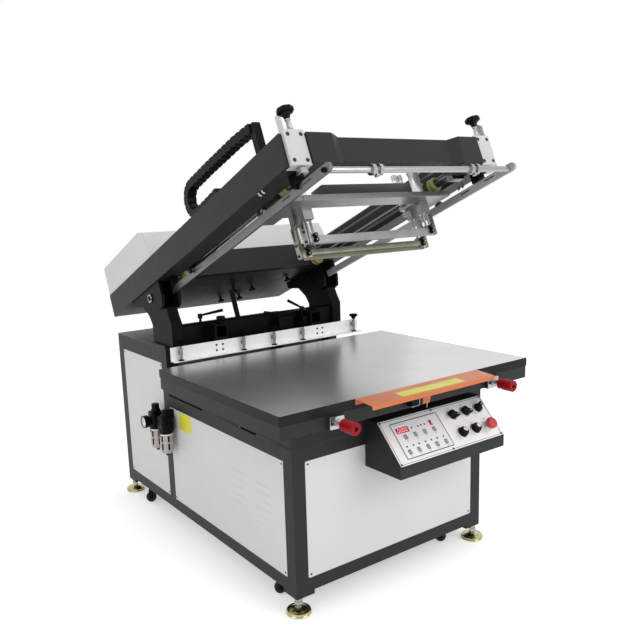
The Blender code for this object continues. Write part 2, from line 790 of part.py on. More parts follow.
part("control_panel", cut(union([plate, guard]), [well]), alloy, face)
for index in range(3):
    x = SWITCH_FIRST + index * SWITCH_STEP
    base = rod((x, ROW_HIGH, skin), (x, ROW_HIGH, skin + 0.006), 0.0145, 16, 0.013)
    grip = rounded(x - 0.004, x + 0.004, ROW_HIGH - 0.0125, ROW_HIGH + 0.0125, 0.003, 2)
    grip = outline(grip, skin + 0.002, skin + 0.017, "XY")
    shape = union([base, grip])
    part("selector_%d" % (index + 1), shape, black_plastic, face, (x, ROW_HIGH, skin))
for index in range(2):
    x = SWITCH_FIRST + index * SWITCH_STEP
    base = rod((x, ROW_LOW, skin), (x, ROW_LOW, skin + 0.004), 0.0145, 16, 0.013)
    grip = outline(lobed((x, ROW_LOW), 0.0118, 10, 0.0008, 2), skin + 0.003, skin + 0.016, "XY")
    part("dial_%d" % (index + 1), union([base, grip]), black_plastic, face, (x, ROW_LOW, skin), True)
stem = rod((stop_x, stop_y, skin + 0.006), (stop_x, stop_y, skin + 0.022), STOP_STEM, 16)
cap = turned([(0.0, 0.033), (0.015, 0.033), (0.019, 0.029), (0.020, 0.020), (0.0, 0.020)], 24)
cap = moved(cap, Matrix.Translation((stop_x, stop_y, skin)))
part("stop_button", union([cap, stem]), red, face, (stop_x, stop_y, skin), True)

# Orange guard strip along the table's front edge.
strip = outline(
    [
        (-GAP, TABLE_TOP - 0.004),
        (-GAP, TABLE_TOP + 0.001),
        (-STRIP_OUT, TABLE_TOP - 0.006),
        (-STRIP_OUT - 0.002, TABLE_TOP - 0.020),
        (-STRIP_OUT, TABLE_TOP - 0.020),
        (-STRIP_OUT + 0.002, TABLE_TOP - 0.008),
        (-0.004, TABLE_TOP - 0.0015),
        (-0.004, TABLE_TOP - 0.020),
        (-GAP, TABLE_TOP - 0.020),
    ],
    -STRIP_L / 2,
    STRIP_L / 2,
)
part("guard_strip", strip, orange)

# Air filter and regulator on the left middle post: two bodies, two bowls and a gauge.
air_x = -half - AIR_OUT
air_y = MID_POST + 0.010
air_z = (AIR_TOP + AIR_LOW) / 2
body_r = 0.026
unit = [
    block(air_x - 0.020, air_x + 0.020, air_y - AIR_SPACE, air_y + AIR_SPACE, air_z - 0.016, air_z + 0.016),
    block(air_x + 0.015, -half - GAP, air_y - 0.010, air_y + 0.040, air_z - 0.020, air_z + 0.024),
]
bowl = [
    (0.0, 0.010),
    (0.023, 0.010),
    (0.023, -0.060),
    (0.021, -0.082),
    (0.015, -0.092),
    (0.008, -0.094),
    (0.008, -0.108),
    (0.0, -0.108),
]
body_side = rounded(-body_r, body_r, -body_r, body_r, 0.010, 2)
for shift in (-AIR_SPACE, AIR_SPACE):
    y = air_y + shift
    points = [(air_x + u, y + v) for u, v in body_side]
    unit.append(outline(points, AIR_LOW, AIR_TOP, "XY"))
    unit.append(moved(turned(bowl, 14), Matrix.Translation((air_x, y, AIR_LOW))))
lock = [(0.0, 0.014), (0.014, 0.014), (0.018, 0.0), (0.018, -0.004), (0.0, -0.004)]
unit.append(moved(turned(lock, 12), Matrix.Translation((air_x, air_y - AIR_SPACE, AIR_TOP))))
for y0, y1 in ((-0.068, -0.108), (0.068, 0.102)):
    unit.append(rod((air_x, air_y + y0, air_z), (air_x, air_y + y1, air_z), 0.009, 8))
gauge = (air_x - body_r - 0.022, air_y + AIR_SPACE, air_z)
unit.append(rod((air_x, gauge[1], air_z), (gauge[0] + 0.006, gauge[1], air_z), 0.008, 8))
unit.append(rod((gauge[0] + 0.016, gauge[1], air_z), gauge, 0.021, 18))
part("air_unit", union(unit), black_plastic)
knob_low = AIR_TOP + GAP
dome = [(0.0, 0.036), (0.013, 0.036), (0.016, 0.033), (0.017, 0.012)]
dome += [(0.020, 0.010), (0.020, 0.0), (0.0, 0.0)]
knob = moved(turned(dome, 14), Matrix.Translation((air_x, air_y + AIR_SPACE, knob_low)))
part("regulator_knob", knob, black_plastic, origin=(air_x, air_y + AIR_SPACE, knob_low), smooth=True)

# Head frame, measured from the pivot with the head level: side beams, front beam with its
# two corner sleeves, and the drive box behind, drawn as one plan and then relieved.
beam_high = BEAM_LOW + BEAM_H
beam_in = HEAD_OUT - BEAM_W
block_out = HEAD_OUT - NOTCH_WALL
sleeve_y = HEAD_FRONT - SLEEVE_OUT
sleeve_rear = HEAD_FRONT + SLEEVE_REAR
plan = [
    (SLEEVE_IN, HEAD_FRONT),
    (SLEEVE_IN, sleeve_y + 0.008),
    (SLEEVE_IN + 0.008, sleeve_y),
    (beam_in - 0.001, sleeve_y),
    (beam_in - 0.001, HEAD_FRONT + NOTCH_D),
    (block_out + GAP, HEAD_FRONT + NOTCH_D),
    (block_out + GAP, HEAD_FRONT),
    (HEAD_OUT, HEAD_FRONT),
    (HEAD_OUT, HEAD_REAR),
]
opening = [
    (SLEEVE_IN, HEAD_FRONT + FRONT_BEAM_D),
    (SLEEVE_IN, sleeve_rear),
    (beam_in, sleeve_rear),
    (beam_in, BOX_FRONT),
]
frame = outline(mirrored(plan), BEAM_LOW, beam_high, "XY")
ahead = sleeve_y - 0.05
cutters = [
    outline(mirrored(opening), BEAM_LOW - 0.02, beam_high + 0.02, "XY"),
    block(
        -beam_in + WALL,
        beam_in - WALL,
        BOX_FRONT + WALL,
        HEAD_REAR - WALL,
        BEAM_LOW + WALL,
        beam_high + 0.02,
    ),
]
for reach, drop, lift, rear in (
    (beam_in - 0.001, 0.001, 0.005, sleeve_rear),
    (SLEEVE_IN, 0.006, 0.018, HEAD_FRONT + FRONT_BEAM_D),
):
    for z0, z1 in ((beam_high - drop, beam_high + 0.05), (BEAM_LOW - 0.05, BEAM_LOW + lift)):
        cutters.append(block(-reach, reach, ahead, rear + 0.001, z0, z1))
frame = cut(frame, cutters)

# Fork under the drive box for the lifting rod's eye.
fork_y = LIFT_ARM * math.cos(TILT) - LIFT_SET * math.sin(TILT)
fork_z = LIFT_ARM * math.sin(TILT) + LIFT_SET * math.cos(TILT)
tine = arc((fork_y, fork_z), 0.0065, 180, 360, 6)
tine += [(fork_y + 0.0065, BEAM_LOW + 0.002), (fork_y - 0.0065, BEAM_LOW + 0.002)]
fork = [frame]
tine_in = EYE_T / 2 + RUN
for sign in (-1, 1):
    x0, x1 = sorted((CYL_X + sign * tine_in, CYL_X + sign * (tine_in + 0.004)))
    fork.append(outline(tine, x0, x1))
fork.append(rod((CYL_X - 0.012, fork_y, fork_z), (CYL_X + 0.012, fork_y, fork_z), EYE_PIN_R, 16))
part("head_frame", union(fork), charcoal, head)

# Lifting cylinder: its barrel is flanged to the cabinet lid, and the rod's slotted eye
# takes the sideways swing of the fork's pin.
seat_z = CABINET_TOP + LID_T + 2 * GAP
barrel = turned(
    [
        (CYL_ROD_R + RUN, CYL_TOP + 0.010),
        (CYL_R - 0.001, CYL_TOP + 0.010),
        (CYL_R - 0.001, CYL_TOP),
        (CYL_R, CYL_TOP - 0.001),
        (CYL_R, seat_z + 0.006),
        (0.022, seat_z + 0.006),
        (0.022, seat_z),
        (CYL_R, seat_z),
        (CYL_R, seat_z - 0.160),
        (0.0, seat_z - 0.160),
        (0.0, seat_z - 0.150),
        (CYL_ROD_R + RUN, seat_z - 0.150),
        (CYL_ROD_R + RUN, CYL_TOP + 0.010),
    ],
    14,
)
part("lift_cylinder", moved(barrel, Matrix.Translation((CYL_X, cyl_y, 0.0))), bright, smooth=True)
eye_z = PIVOT_Z + LIFT_SET
shank = rod((CYL_X, cyl_y, seat_z - 0.090), (CYL_X, cyl_y, eye_z - 0.007), CYL_ROD_R, 16)
slot_r = EYE_PIN_R + RUN
eye = arc((cyl_y + 0.0006, eye_z), 0.0078, -90, 90, 6) + arc((cyl_y - EYE_SLOT, eye_z), 0.0078, 90, 270, 6)
slot = arc((cyl_y + 0.0006, eye_z), slot_r, -90, 90, 6) + arc((cyl_y - EYE_SLOT, eye_z), slot_r, 90, 270, 6)
shape = union([outline(eye, CYL_X - EYE_T / 2, CYL_X + EYE_T / 2), shank])
shape = cut(shape, [outline(slot, CYL_X - EYE_T, CYL_X + EYE_T)])
part("lift_rod", shape, bright, origin=(CYL_X, cyl_y, eye_z), smooth=True)

# Light sheet hood over the drive box.
hood_y0 = BOX_FRONT + 0.015
hood_points = [
    (hood_y0, beam_high + GAP),
    (hood_y0 + 0.035, beam_high + 0.122),
    (hood_y0 + 0.080, beam_high + HOOD_H),
    (HEAD_REAR + 0.003, beam_high + HOOD_H),
    (HEAD_REAR + 0.003, beam_high + GAP),
]
centre_y = (hood_points[0][0] + hood_points[3][0]) / 2
inside = []
for y, z in hood_points:
    shift = WALL / 2 if y < centre_y else -WALL / 2
    drop = WALL / 2 if z > beam_high + 0.01 else 0.02
    inside.append((y + shift, z - drop))
hood_half = HEAD_OUT - 0.004
hood = cut(
    outline(hood_points, -hood_half, hood_half),
    [outline(inside, -hood_half + WALL / 2, hood_half - WALL / 2)],
)
part("head_hood", hood, sheet_grey, head)

# White end blocks with four screw holes and a scale plate, and the height screws in them.
spindle_y = HEAD_FRONT + 0.003
for label, sign in SIDES:
    x0, x1 = side(beam_in + GAP, block_out - GAP, sign)
    y0 = HEAD_FRONT - BLOCK_OUT
    block_top = beam_high + BLOCK_UP
    shape = block(x0, x1, y0, HEAD_FRONT + NOTCH_D - GAP, BEAM_LOW + 0.001, block_top, 0.0012)
    px0, px1 = side(SPINDLE_X + 0.031, SPINDLE_X + 0.034, sign)
    scale = [
        (y0 + 0.006, block_top - 0.004),
        (y0 + 0.033, block_top - 0.004),
        (y0 + 0.033, block_top + 0.056),
        (y0 + 0.026, block_top + 0.060),
        (y0 + 0.006, block_top + 0.042),
    ]
    shape = union([shape, outline(scale, px0, px1)])
    x = sign * SPINDLE_X
    holes = [rod((x, spindle_y, BEAM_LOW - 0.05), (x, spindle_y, block_top + 0.05), SPINDLE_R + RUN, 16)]
    for x in (x0 + 0.015, x1 - 0.015):
        for z in (BEAM_LOW + 0.018, beam_high - 0.006):
            holes.append(rod((x, y0 - 0.01, z), (x, y0 + 0.006, z), 0.0052, 12))
    part("end_block_" + label, cut(shape, holes), white_paint, head)
    x = sign * SPINDLE_X
    grip_z = beam_high + GRIP_UP
    spindle = rod((x, spindle_y, BEAM_LOW - 0.019), (x, spindle_y, grip_z + 0.01), SPINDLE_R, 12)
    neck = rod((x, spindle_y, grip_z - 0.010), (x, spindle_y, grip_z + 0.004), SPINDLE_R + 0.004, 12, 0.018)
    grip = outline(lobed((x, spindle_y), GRIP_R, 8, 0.004, 4), grip_z, grip_z + GRIP_H, "XY")
    cap_z = grip_z + GRIP_H
    crown = rod((x, spindle_y, cap_z - 0.001), (x, spindle_y, cap_z + 0.004), 0.019, 12, 0.013)
    shape = union([grip, spindle, neck, crown])
    part("height_screw_" + label, shape, black_plastic, head, (x, spindle_y, grip_z), True)

# Screen arms: slotted flat bars hung under the side beams, each with its clamp screw, hand
# knob and front hanger, and the round rod that joins their front ends.
arm_y0 = HEAD_FRONT - ARM_OUT
rod_y = HEAD_FRONT - ROD_OUT
for label, sign in SIDES:
    x0, x1 = side(ARM_X - ARM_T / 2, ARM_X + ARM_T / 2, sign)
    radius = ARM_H / 2
    points = arc((arm_y0 + radius, ARM_LOW + radius), radius, 270, 90, 8)
    points += [(ARM_REAR, ARM_LOW + ARM_H), (ARM_REAR, ARM_LOW)]
    shape = outline(points, x0, x1)
    pieces = []
    for y in (HEAD_FRONT + HANGER_FRONT, ARM_REAR - HANGER_REAR):
        hx0, hx1 = side(ARM_X - 0.016, ARM_X + 0.016, sign)
        pieces.append(block(hx0, hx1, y, y + HANGER_L, ARM_LOW + 0.030, BEAM_LOW - GAP))
    outer = sign * (ARM_X + ARM_T / 2)
    for y, z, radius, reach in (
        (rod_y, ROD_Z, 0.009, 0.007),
        (HEAD_FRONT + HANGER_FRONT + HANGER_L / 2, 0.018, 0.008, 0.010),
        (ARM_KNOB_Y, ARM_KNOB_Z, 0.009, 0.006),
    ):
        pieces.append(rod((outer - sign * 0.004, y, z), (outer + sign * reach, y, z), radius, 12))
    grip = lobed((ARM_KNOB_Y, ARM_KNOB_Z), ARM_KNOB_R, 5, 0.0035, 3)
    gx0, gx1 = sorted((outer + sign * 0.005, outer + sign * 0.015))
    pieces.append(outline(grip, gx0, gx1))
    shape = union([shape] + pieces)
    slots = []
    for y in (HEAD_FRONT + SLOT_FRONT, HEAD_FRONT + SLOT_MID, SLOT_REAR):
        slots.append(block(x0 - 0.01, x1 + 0.01, y, y + SLOT_L, ARM_LOW + 0.017, ARM_LOW + 0.025))
    socket = rod((outer + sign * 0.002, rod_y, ROD_Z), (outer + sign * 0.02, rod_y, ROD_Z), 0.0045, 6)
    part("screen_arm_" + label, cut(shape, slots + [socket]), alloy, head)
span = ARM_X - ARM_T / 2 - GAP
shapes = [rod((-span, rod_y, ROD_Z), (span, rod_y, ROD_Z), ROD_R, 16)]
for x in (-0.230, 0.230):
    for near, far in ((-0.022, -0.008), (0.008, 0.022)):
        shapes.append(rod((x + near, rod_y, ROD_Z), (x + far, rod_y, ROD_Z), ROD_R + 0.0085, 14))
    shapes.append(block(x - 0.006, x + 0.006, rod_y - 0.007, rod_y + 0.007, ROD_Z - 0.024, ROD_Z - 0.004))
part("front_rod", union(shapes), bright, head, smooth=True)

# Guide shafts with their end blocks and rubber buffers, inside the side beams.
carriage_y = HEAD_FRONT + CARRIAGE_IN
plate_y1 = carriage_y + CARRIAGE_D
plate_z1 = CARRIAGE_Z + CARRIAGE_T
bearing_y = carriage_y + BEARING_IN
shaft_y0 = sleeve_rear + GAP
shaft_y1 = BOX_FRONT - GAP
for label, sign in SIDES:
    x = sign * SHAFT_X
    shapes = [rod((x, shaft_y0, SHAFT_Z), (x, shaft_y1, SHAFT_Z), SHAFT_R, 16)]
    x0, x1 = side(SHAFT_X - 0.022, beam_in - GAP, sign)
    shapes.append(block(x0, x1, shaft_y0, shaft_y0 + 0.030, SHAFT_Z - 0.028, SHAFT_Z + 0.028))
    shapes.append(block(x0, x1, shaft_y1 - 0.012, shaft_y1, SHAFT_Z - 0.020, SHAFT_Z + 0.028))
    stop_y1 = bearing_y - BUFFER_GAP
    stop_y0 = stop_y1 - BUFFER_L
    shapes.append(rod((x, shaft_y0 + 0.028, SHAFT_Z), (x, stop_y0 + 0.002, SHAFT_Z), SHAFT_R + 0.0055, 14))
    for y0 in (stop_y0, shaft_y1 - 0.010 - BUFFER_L):
        buffer = [
            (0.0, BUFFER_L),
            (BUFFER_R - 0.002, BUFFER_L),
            (BUFFER_R, BUFFER_L - 0.002),
            (BUFFER_R, 0.002),
            (BUFFER_R - 0.002, 0.0),
            (0.0, 0.0),
        ]
        place = Matrix.Translation((x, y0, SHAFT_Z)) @ Matrix.Rotation(-math.pi / 2, 4, "X")
        place = place @ Matrix.Rotation(math.radians(5), 4, "Z")
        shapes.append(moved(turned(buffer, 18), place))
    part("guide_shaft_" + label, union(shapes), bright, head, smooth=True)

# Carriage: cross plate, end plates, shaft bearings and clamps, the cover over the middle,
# and on each side a large and a twin cylinder over the blocks that guide the blade rods.
flood_y = carriage_y + FLOOD_IN
squeegee_y = carriage_y + SQUEEGEE_IN
guide_top = CARRIAGE_Z + 0.006
shapes = [block(-CARRIAGE_HALF, CARRIAGE_HALF, carriage_y, plate_y1, CARRIAGE_Z, plate_z1)]
shapes.append(
    block(
        -COVER_HALF,
        COVER_HALF,
        carriage_y + 0.031,
        plate_y1 + 0.03,
        plate_z1 - 0.002,
        plate_z1 + COVER_H,
        0.0015,
    )
)
clamp_y = bearing_y + BEARING_L + CLAMP_SPACE
for _, sign in SIDES:
    x0, x1 = side(0.250, CARRIAGE_HALF, sign)
    shapes.append(block(x0, x1, carriage_y + 0.002, squeegee_y + 0.025, CARRIAGE_Z + 0.001, plate_z1 - 0.001))
    x0, x1 = side(0.325, 0.385, sign)
    shapes.append(block(x0, x1, carriage_y + 0.002, clamp_y + CLAMP_L, CARRIAGE_Z + 0.001, plate_z1 - 0.001))
    bearing = [
        (SHAFT_X - 0.026, plate_z1 - 0.004),
        (SHAFT_X + 0.024, plate_z1 - 0.004),
        (SHAFT_X + 0.024, SHAFT_Z + 0.016),
        (SHAFT_X + 0.014, SHAFT_Z + 0.026),
        (SHAFT_X - 0.016, SHAFT_Z + 0.026),
        (SHAFT_X - 0.026, SHAFT_Z + 0.016),
    ]
    bearing = [(sign * u, v) for u, v in bearing]
    for y, length in ((bearing_y, BEARING_L), (clamp_y, CLAMP_L)):
        shapes.append(outline(bearing, y, y + length, "XZ"))
    lift = turned(
        [
            (0.0, LIFT_TOP),
            (LIFT_R - 0.004, LIFT_TOP),
            (LIFT_R, LIFT_TOP - 0.004),
            (LIFT_R, LIFT_TOP - 0.020),
            (LIFT_R - 0.002, LIFT_TOP - 0.021),
            (LIFT_R - 0.002, plate_z1 - 0.002),
            (0.0, plate_z1 - 0.002),
        ],
        14,
    )
    shapes.append(moved(lift, Matrix.Translation((sign * LIFT_X, flood_y, 0.0))))
    for x in (LIFT_X - 0.015 + 0.002, LIFT_X - 0.043):
        post = rod((sign * x, squeegee_y, plate_z1 - 0.004), (sign * x, squeegee_y, LIFT_TOP), 0.010, 10)
        shapes.append(post)
    for y in (flood_y, squeegee_y):
        x0, x1 = side(LIFT_X - 0.021, LIFT_X + 0.021, sign)
        shapes.append(block(x0, x1, y - 0.014, y + 0.014, CARRIAGE_Z - LIFT_DROP, CARRIAGE_Z + 0.004))
carriage = union(shapes)
holes = []
for _, sign in SIDES:
    x = sign * SHAFT_X
    holes.append(
        rod(
            (x, bearing_y - 0.01, SHAFT_Z),
            (x, clamp_y + CLAMP_L + 0.01, SHAFT_Z),
            SHAFT_R + RUN,
            20,
        )
    )
    for y in (flood_y, squeegee_y):
        for dx in (-GUIDE_GAP, GUIDE_GAP):
            cx = sign * LIFT_X + dx
            low = CARRIAGE_Z - LIFT_DROP - 0.02
            holes.append(rod((cx, y, low), (cx, y, guide_top), GUIDE_R + RUN, 10))
part("carriage", cut(carriage, holes), alloy, head)


def blade(name, y, half_length, low, section, high):
    # A long blade holder of the given cross-section, hung on two pairs of piston rods.
    points = [(y + u, low + v) for u, v in section]
    shapes = [outline(points, -half_length, half_length)]
    for _, sign in SIDES:
        x0, x1 = side(LIFT_X - 0.020, LIFT_X + 0.020, sign)
        shapes.append(block(x0, x1, y - 0.012, y + 0.010, low + 0.006, low + high + 0.012))
        for dx in (-GUIDE_GAP, GUIDE_GAP):
            cx = sign * LIFT_X + dx
            top = guide_top - 0.006
            shapes.append(rod((cx, y, low + high), (cx, y, top), GUIDE_R, 10))
        cheek = rounded(y - 0.011, y + 0.011, low + 0.004, CARRIAGE_Z - LIFT_DROP - 0.003, 0.005, 1)
        x0, x1 = side(HANGER_X - 0.0025, HANGER_X + 0.0025, sign)
        plate = outline(cheek, x0, x1)
        plate = cut(
            plate,
            [
                rod((x0 - 0.01, y, low + rise), (x1 + 0.01, y, low + rise), 0.0035, 6)
                for rise in (high + 0.020, high + 0.034)
            ],
        )
        x0, x1 = side(LIFT_X + 0.015, HANGER_X, sign)
        shapes.append(plate)
        shapes.append(block(x0, x1, y - 0.008, y + 0.008, low + 0.008, low + high + 0.004))
        for rise in (high + 0.001, high - 0.016):
            hub = (sign * (LIFT_X - 0.004), y - 0.010, low + rise)
            grip = rod(hub, (hub[0], hub[1] - 0.014, hub[2]), 0.0065, 8, 0.0075)
            shapes.append(grip)
    part(name, union(shapes), alloy, head)


FLOOD_SECTION = (
    (-0.014, 0.004),
    (-0.010, 0.0),
    (-0.004, 0.0),
    (0.000, 0.006),
    (0.010, 0.006),
    (0.010, FLOOD_H),
    (-0.014, FLOOD_H),
)
SQUEEGEE_SECTION = (
    (-0.004, 0.0),
    (0.004, 0.0),
    (0.004, 0.010),
    (0.014, 0.014),
    (0.014, SQUEEGEE_H),
    (-0.014, SQUEEGEE_H),
    (-0.014, 0.014),
    (-0.004, 0.010),
)
blade("flood_bar", flood_y, BLADE_HALF, FLOOD_LOW, FLOOD_SECTION, FLOOD_H)
blade("squeegee_bar", squeegee_y, BLADE_HALF, SQUEEGEE_LOW, SQUEEGEE_SECTION, SQUEEGEE_H)

# Pivot brackets: two cheeks and a nutted pin, fixed under each side beam.
bracket_top = BEAM_LOW - GAP
cheek_points = [
    (0.212, 0.024),
    (0.212, bracket_top),
    (-0.115, bracket_top),
    (-0.118, -0.020),
    (-0.100, -0.068),
    (-0.070, -0.074),
    (0.125, -0.004),
]
for label, sign in SIDES:
    shapes = []
    near_in = POST_X0 - CHEEK_GAP - CHEEK_T
    far_out = POST_X1 + CHEEK_GAP + CHEEK_T
    for near, far in ((near_in, near_in + CHEEK_T), (far_out - CHEEK_T, far_out)):
        x0, x1 = side(near, far, sign)
        shapes.append(outline(cheek_points, x0, x1))
    x0, x1 = side(near_in + 0.002, far_out - 0.002, sign)
    shapes.append(block(x0, x1, -0.085, 0.208, bracket_top - 0.0105, bracket_top - 0.0001))
    x0, x1 = side(near_in - 0.008, far_out + 0.008, sign)
    shapes.append(rod((x0, 0.0, 0.0), (x1, 0.0, 0.0), PIN_R, 20))
    x0, x1 = side(far_out - 0.001, far_out + 0.006, sign)
    shapes.append(rod((x0, 0.0, 0.0), (x1, 0.0, 0.0), 0.021, 6))
    part("pivot_bracket_" + label, union(shapes), black_cast, head)

# Cable chain looped on top of the left beam: links of equal length along one path, with a
# notch above and below each joint, and a bracket at the chain's front end.
chain_low = beam_high + GAP + CHAIN_T / 2
bend_y = HEAD_FRONT + CHAIN_IN
path = [
    (HEAD_FRONT + 0.177, chain_low + 2 * CHAIN_BEND - 0.022),
    (HEAD_FRONT + 0.297, chain_low + 2 * CHAIN_BEND - 0.010),
    (HEAD_FRONT + 0.527, chain_low + 2 * CHAIN_BEND - 0.002),
]
path += arc((bend_y, chain_low + CHAIN_BEND), CHAIN_BEND, 90, -90, 40)
# The lower run lifts a little towards its free end.
path += [(bend_y - CHAIN_RUN * k / 6, chain_low + 0.005 * (k / 6) ** 2) for k in range(1, 7)]


def along(points, distance):
    # The point and direction at a distance along a run of points.
    for (y0, z0), (y1, z1) in zip(points, points[1:]):
        length = math.hypot(y1 - y0, z1 - z0)
        if distance <= length:
            break
        distance -= length
    share = distance / length
    run = Vector(((y1 - y0) / length, (z1 - z0) / length))
    return Vector((y0 + (y1 - y0) * share, z0 + (z1 - z0) * share)), run


total = sum(math.dist(first, second) for first, second in zip(path, path[1:]))
count = int(total / CHAIN_PITCH)
upper = []
lower = []
for index in range(count):
    for share, notch in ((0.05, 0.004), (0.16, 0.0), (0.84, 0.0), (0.95, 0.0044)):
        spot, run = along(path, (index + share) * total / count)
        across = Vector((-run.y, run.x)) * (CHAIN_T / 2 - notch)
        upper.append(tuple(spot + across))
        lower.append(tuple(spot - across))
chain = [outline(upper + lower[::-1], CHAIN_X - CHAIN_W / 2, CHAIN_X + CHAIN_W / 2)]
front_end = path[0]
chain.append(
    block(
        CHAIN_X - 0.015,
        CHAIN_X + 0.015,
        front_end[0] - 0.018,
        front_end[0] + 0.010,
        beam_high + GAP,
        front_end[1] + 0.012,
    )
)
part("cable_chain", union(chain), black_plastic, head)

bpy.context.view_layer.update()
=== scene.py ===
# Flatbed screen printing machine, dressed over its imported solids.
import math
import bmesh
import bpy
import numpy as np
from mathutils import Matrix, Vector


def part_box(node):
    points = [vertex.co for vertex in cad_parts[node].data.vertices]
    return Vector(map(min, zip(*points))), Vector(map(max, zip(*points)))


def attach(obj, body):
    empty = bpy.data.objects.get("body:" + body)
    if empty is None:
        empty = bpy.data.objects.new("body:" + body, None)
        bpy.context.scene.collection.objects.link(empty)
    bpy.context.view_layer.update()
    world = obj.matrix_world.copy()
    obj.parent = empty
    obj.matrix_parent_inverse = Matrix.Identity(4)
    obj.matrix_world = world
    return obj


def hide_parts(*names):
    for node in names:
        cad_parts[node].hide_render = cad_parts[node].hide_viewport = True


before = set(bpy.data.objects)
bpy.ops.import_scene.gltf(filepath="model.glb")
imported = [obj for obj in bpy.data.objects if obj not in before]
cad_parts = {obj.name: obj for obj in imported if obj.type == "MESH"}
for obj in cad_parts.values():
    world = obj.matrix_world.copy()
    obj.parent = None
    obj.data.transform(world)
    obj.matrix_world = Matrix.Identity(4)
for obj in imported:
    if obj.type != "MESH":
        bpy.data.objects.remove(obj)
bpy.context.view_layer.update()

print("stage: frame loaded,", len(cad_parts), "nodes")

tilt = math.radians(22.5)  # how far the head is raised
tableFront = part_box("table_top")[0].y
pivot = Vector((0.0, tableFront + 1.19, 1.053))  # the head's hinge line
headFrame = Matrix.Translation(pivot) @ Matrix.Rotation(-tilt, 4, "X")
floorFrame = Matrix.Translation((0.0, tableFront, 0.0))
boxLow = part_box("control_box")[0]
lipTop = Vector((0.0, boxLow.y, boxLow.z + 0.044))  # where the control box starts to slope
slope = math.atan2(0.136, 0.128)  # the panel's face goes 136 mm up over 128 mm back
panelFrame = Matrix.Translation(lipTop) @ Matrix.Rotation(slope, 4, "X")

# Camera, as solved from points of the photo
cameraSpec = dict(place=(-1.7983, -1.8073, 1.4671), azimuth=-35.358, elevation=10.681,
                  roll=-1.967, lens=40.48, shiftX=0.02961, shiftY=0.02333)


def aimCamera(spec):
    # Looks along the azimuth and down by the elevation, then rolls about its own line of sight.
    az, el, ro = (math.radians(spec[key]) for key in ("azimuth", "elevation", "roll"))
    ahead = Vector((-math.sin(az) * math.cos(el), math.cos(az) * math.cos(el), -math.sin(el)))
    right = ahead.cross(Vector((0, 0, 1))).normalized()
    up = right.cross(ahead)
    across = right * math.cos(ro) + up * math.sin(ro)
    upward = up * math.cos(ro) - right * math.sin(ro)
    x, y, z = spec["place"]
    turn = Matrix((across, upward, -ahead)).transposed().to_4x4()
    data = bpy.data.cameras.new("camera")
    data.lens = spec["lens"]
    data.shift_x = spec["shiftX"]
    data.shift_y = spec["shiftY"]
    made = bpy.data.objects.new("camera", data)
    bpy.context.scene.collection.objects.link(made)
    made.matrix_world = Matrix.Translation((x, y + tableFront, z)) @ turn
    bpy.context.scene.camera = made


aimCamera(cameraSpec)
print("stage: camera")


# Finishes
def fillInputs(tree, node, inputs):
    # Gives each input a plain value, or joins it to another node's output.
    for key, value in inputs.items():
        if isinstance(value, bpy.types.NodeSocket):
            tree.links.new(value, node.inputs[key])
        else:
            node.inputs[key].default_value = value


def addNode(tree, kind, inputs, **settings):
    # Adds a node with its settings and inputs, and hands back its outputs.
    made = tree.nodes.new("ShaderNode" + kind)
    for key, value in settings.items():
        setattr(made, key, value)
    fillInputs(tree, made, inputs)
    return made.outputs


# the noises' scale and detail, the grain's height in metres, the clear coat's roughness, and
# the spans over which the wear and the dark sides come in
surface = dict(toneDetail=4.0, glossScale=9.0, glossDetail=3.0, grainDetail=2.0,
               grainGain=10.0, grainHigh=0.00006, coatRough=0.12, patchScale=60.0,
               patchDetail=5.0, patches=(0.48, 0.62), rubbed=(0.8, 0.97), facesUp=(0.88, 0.96))


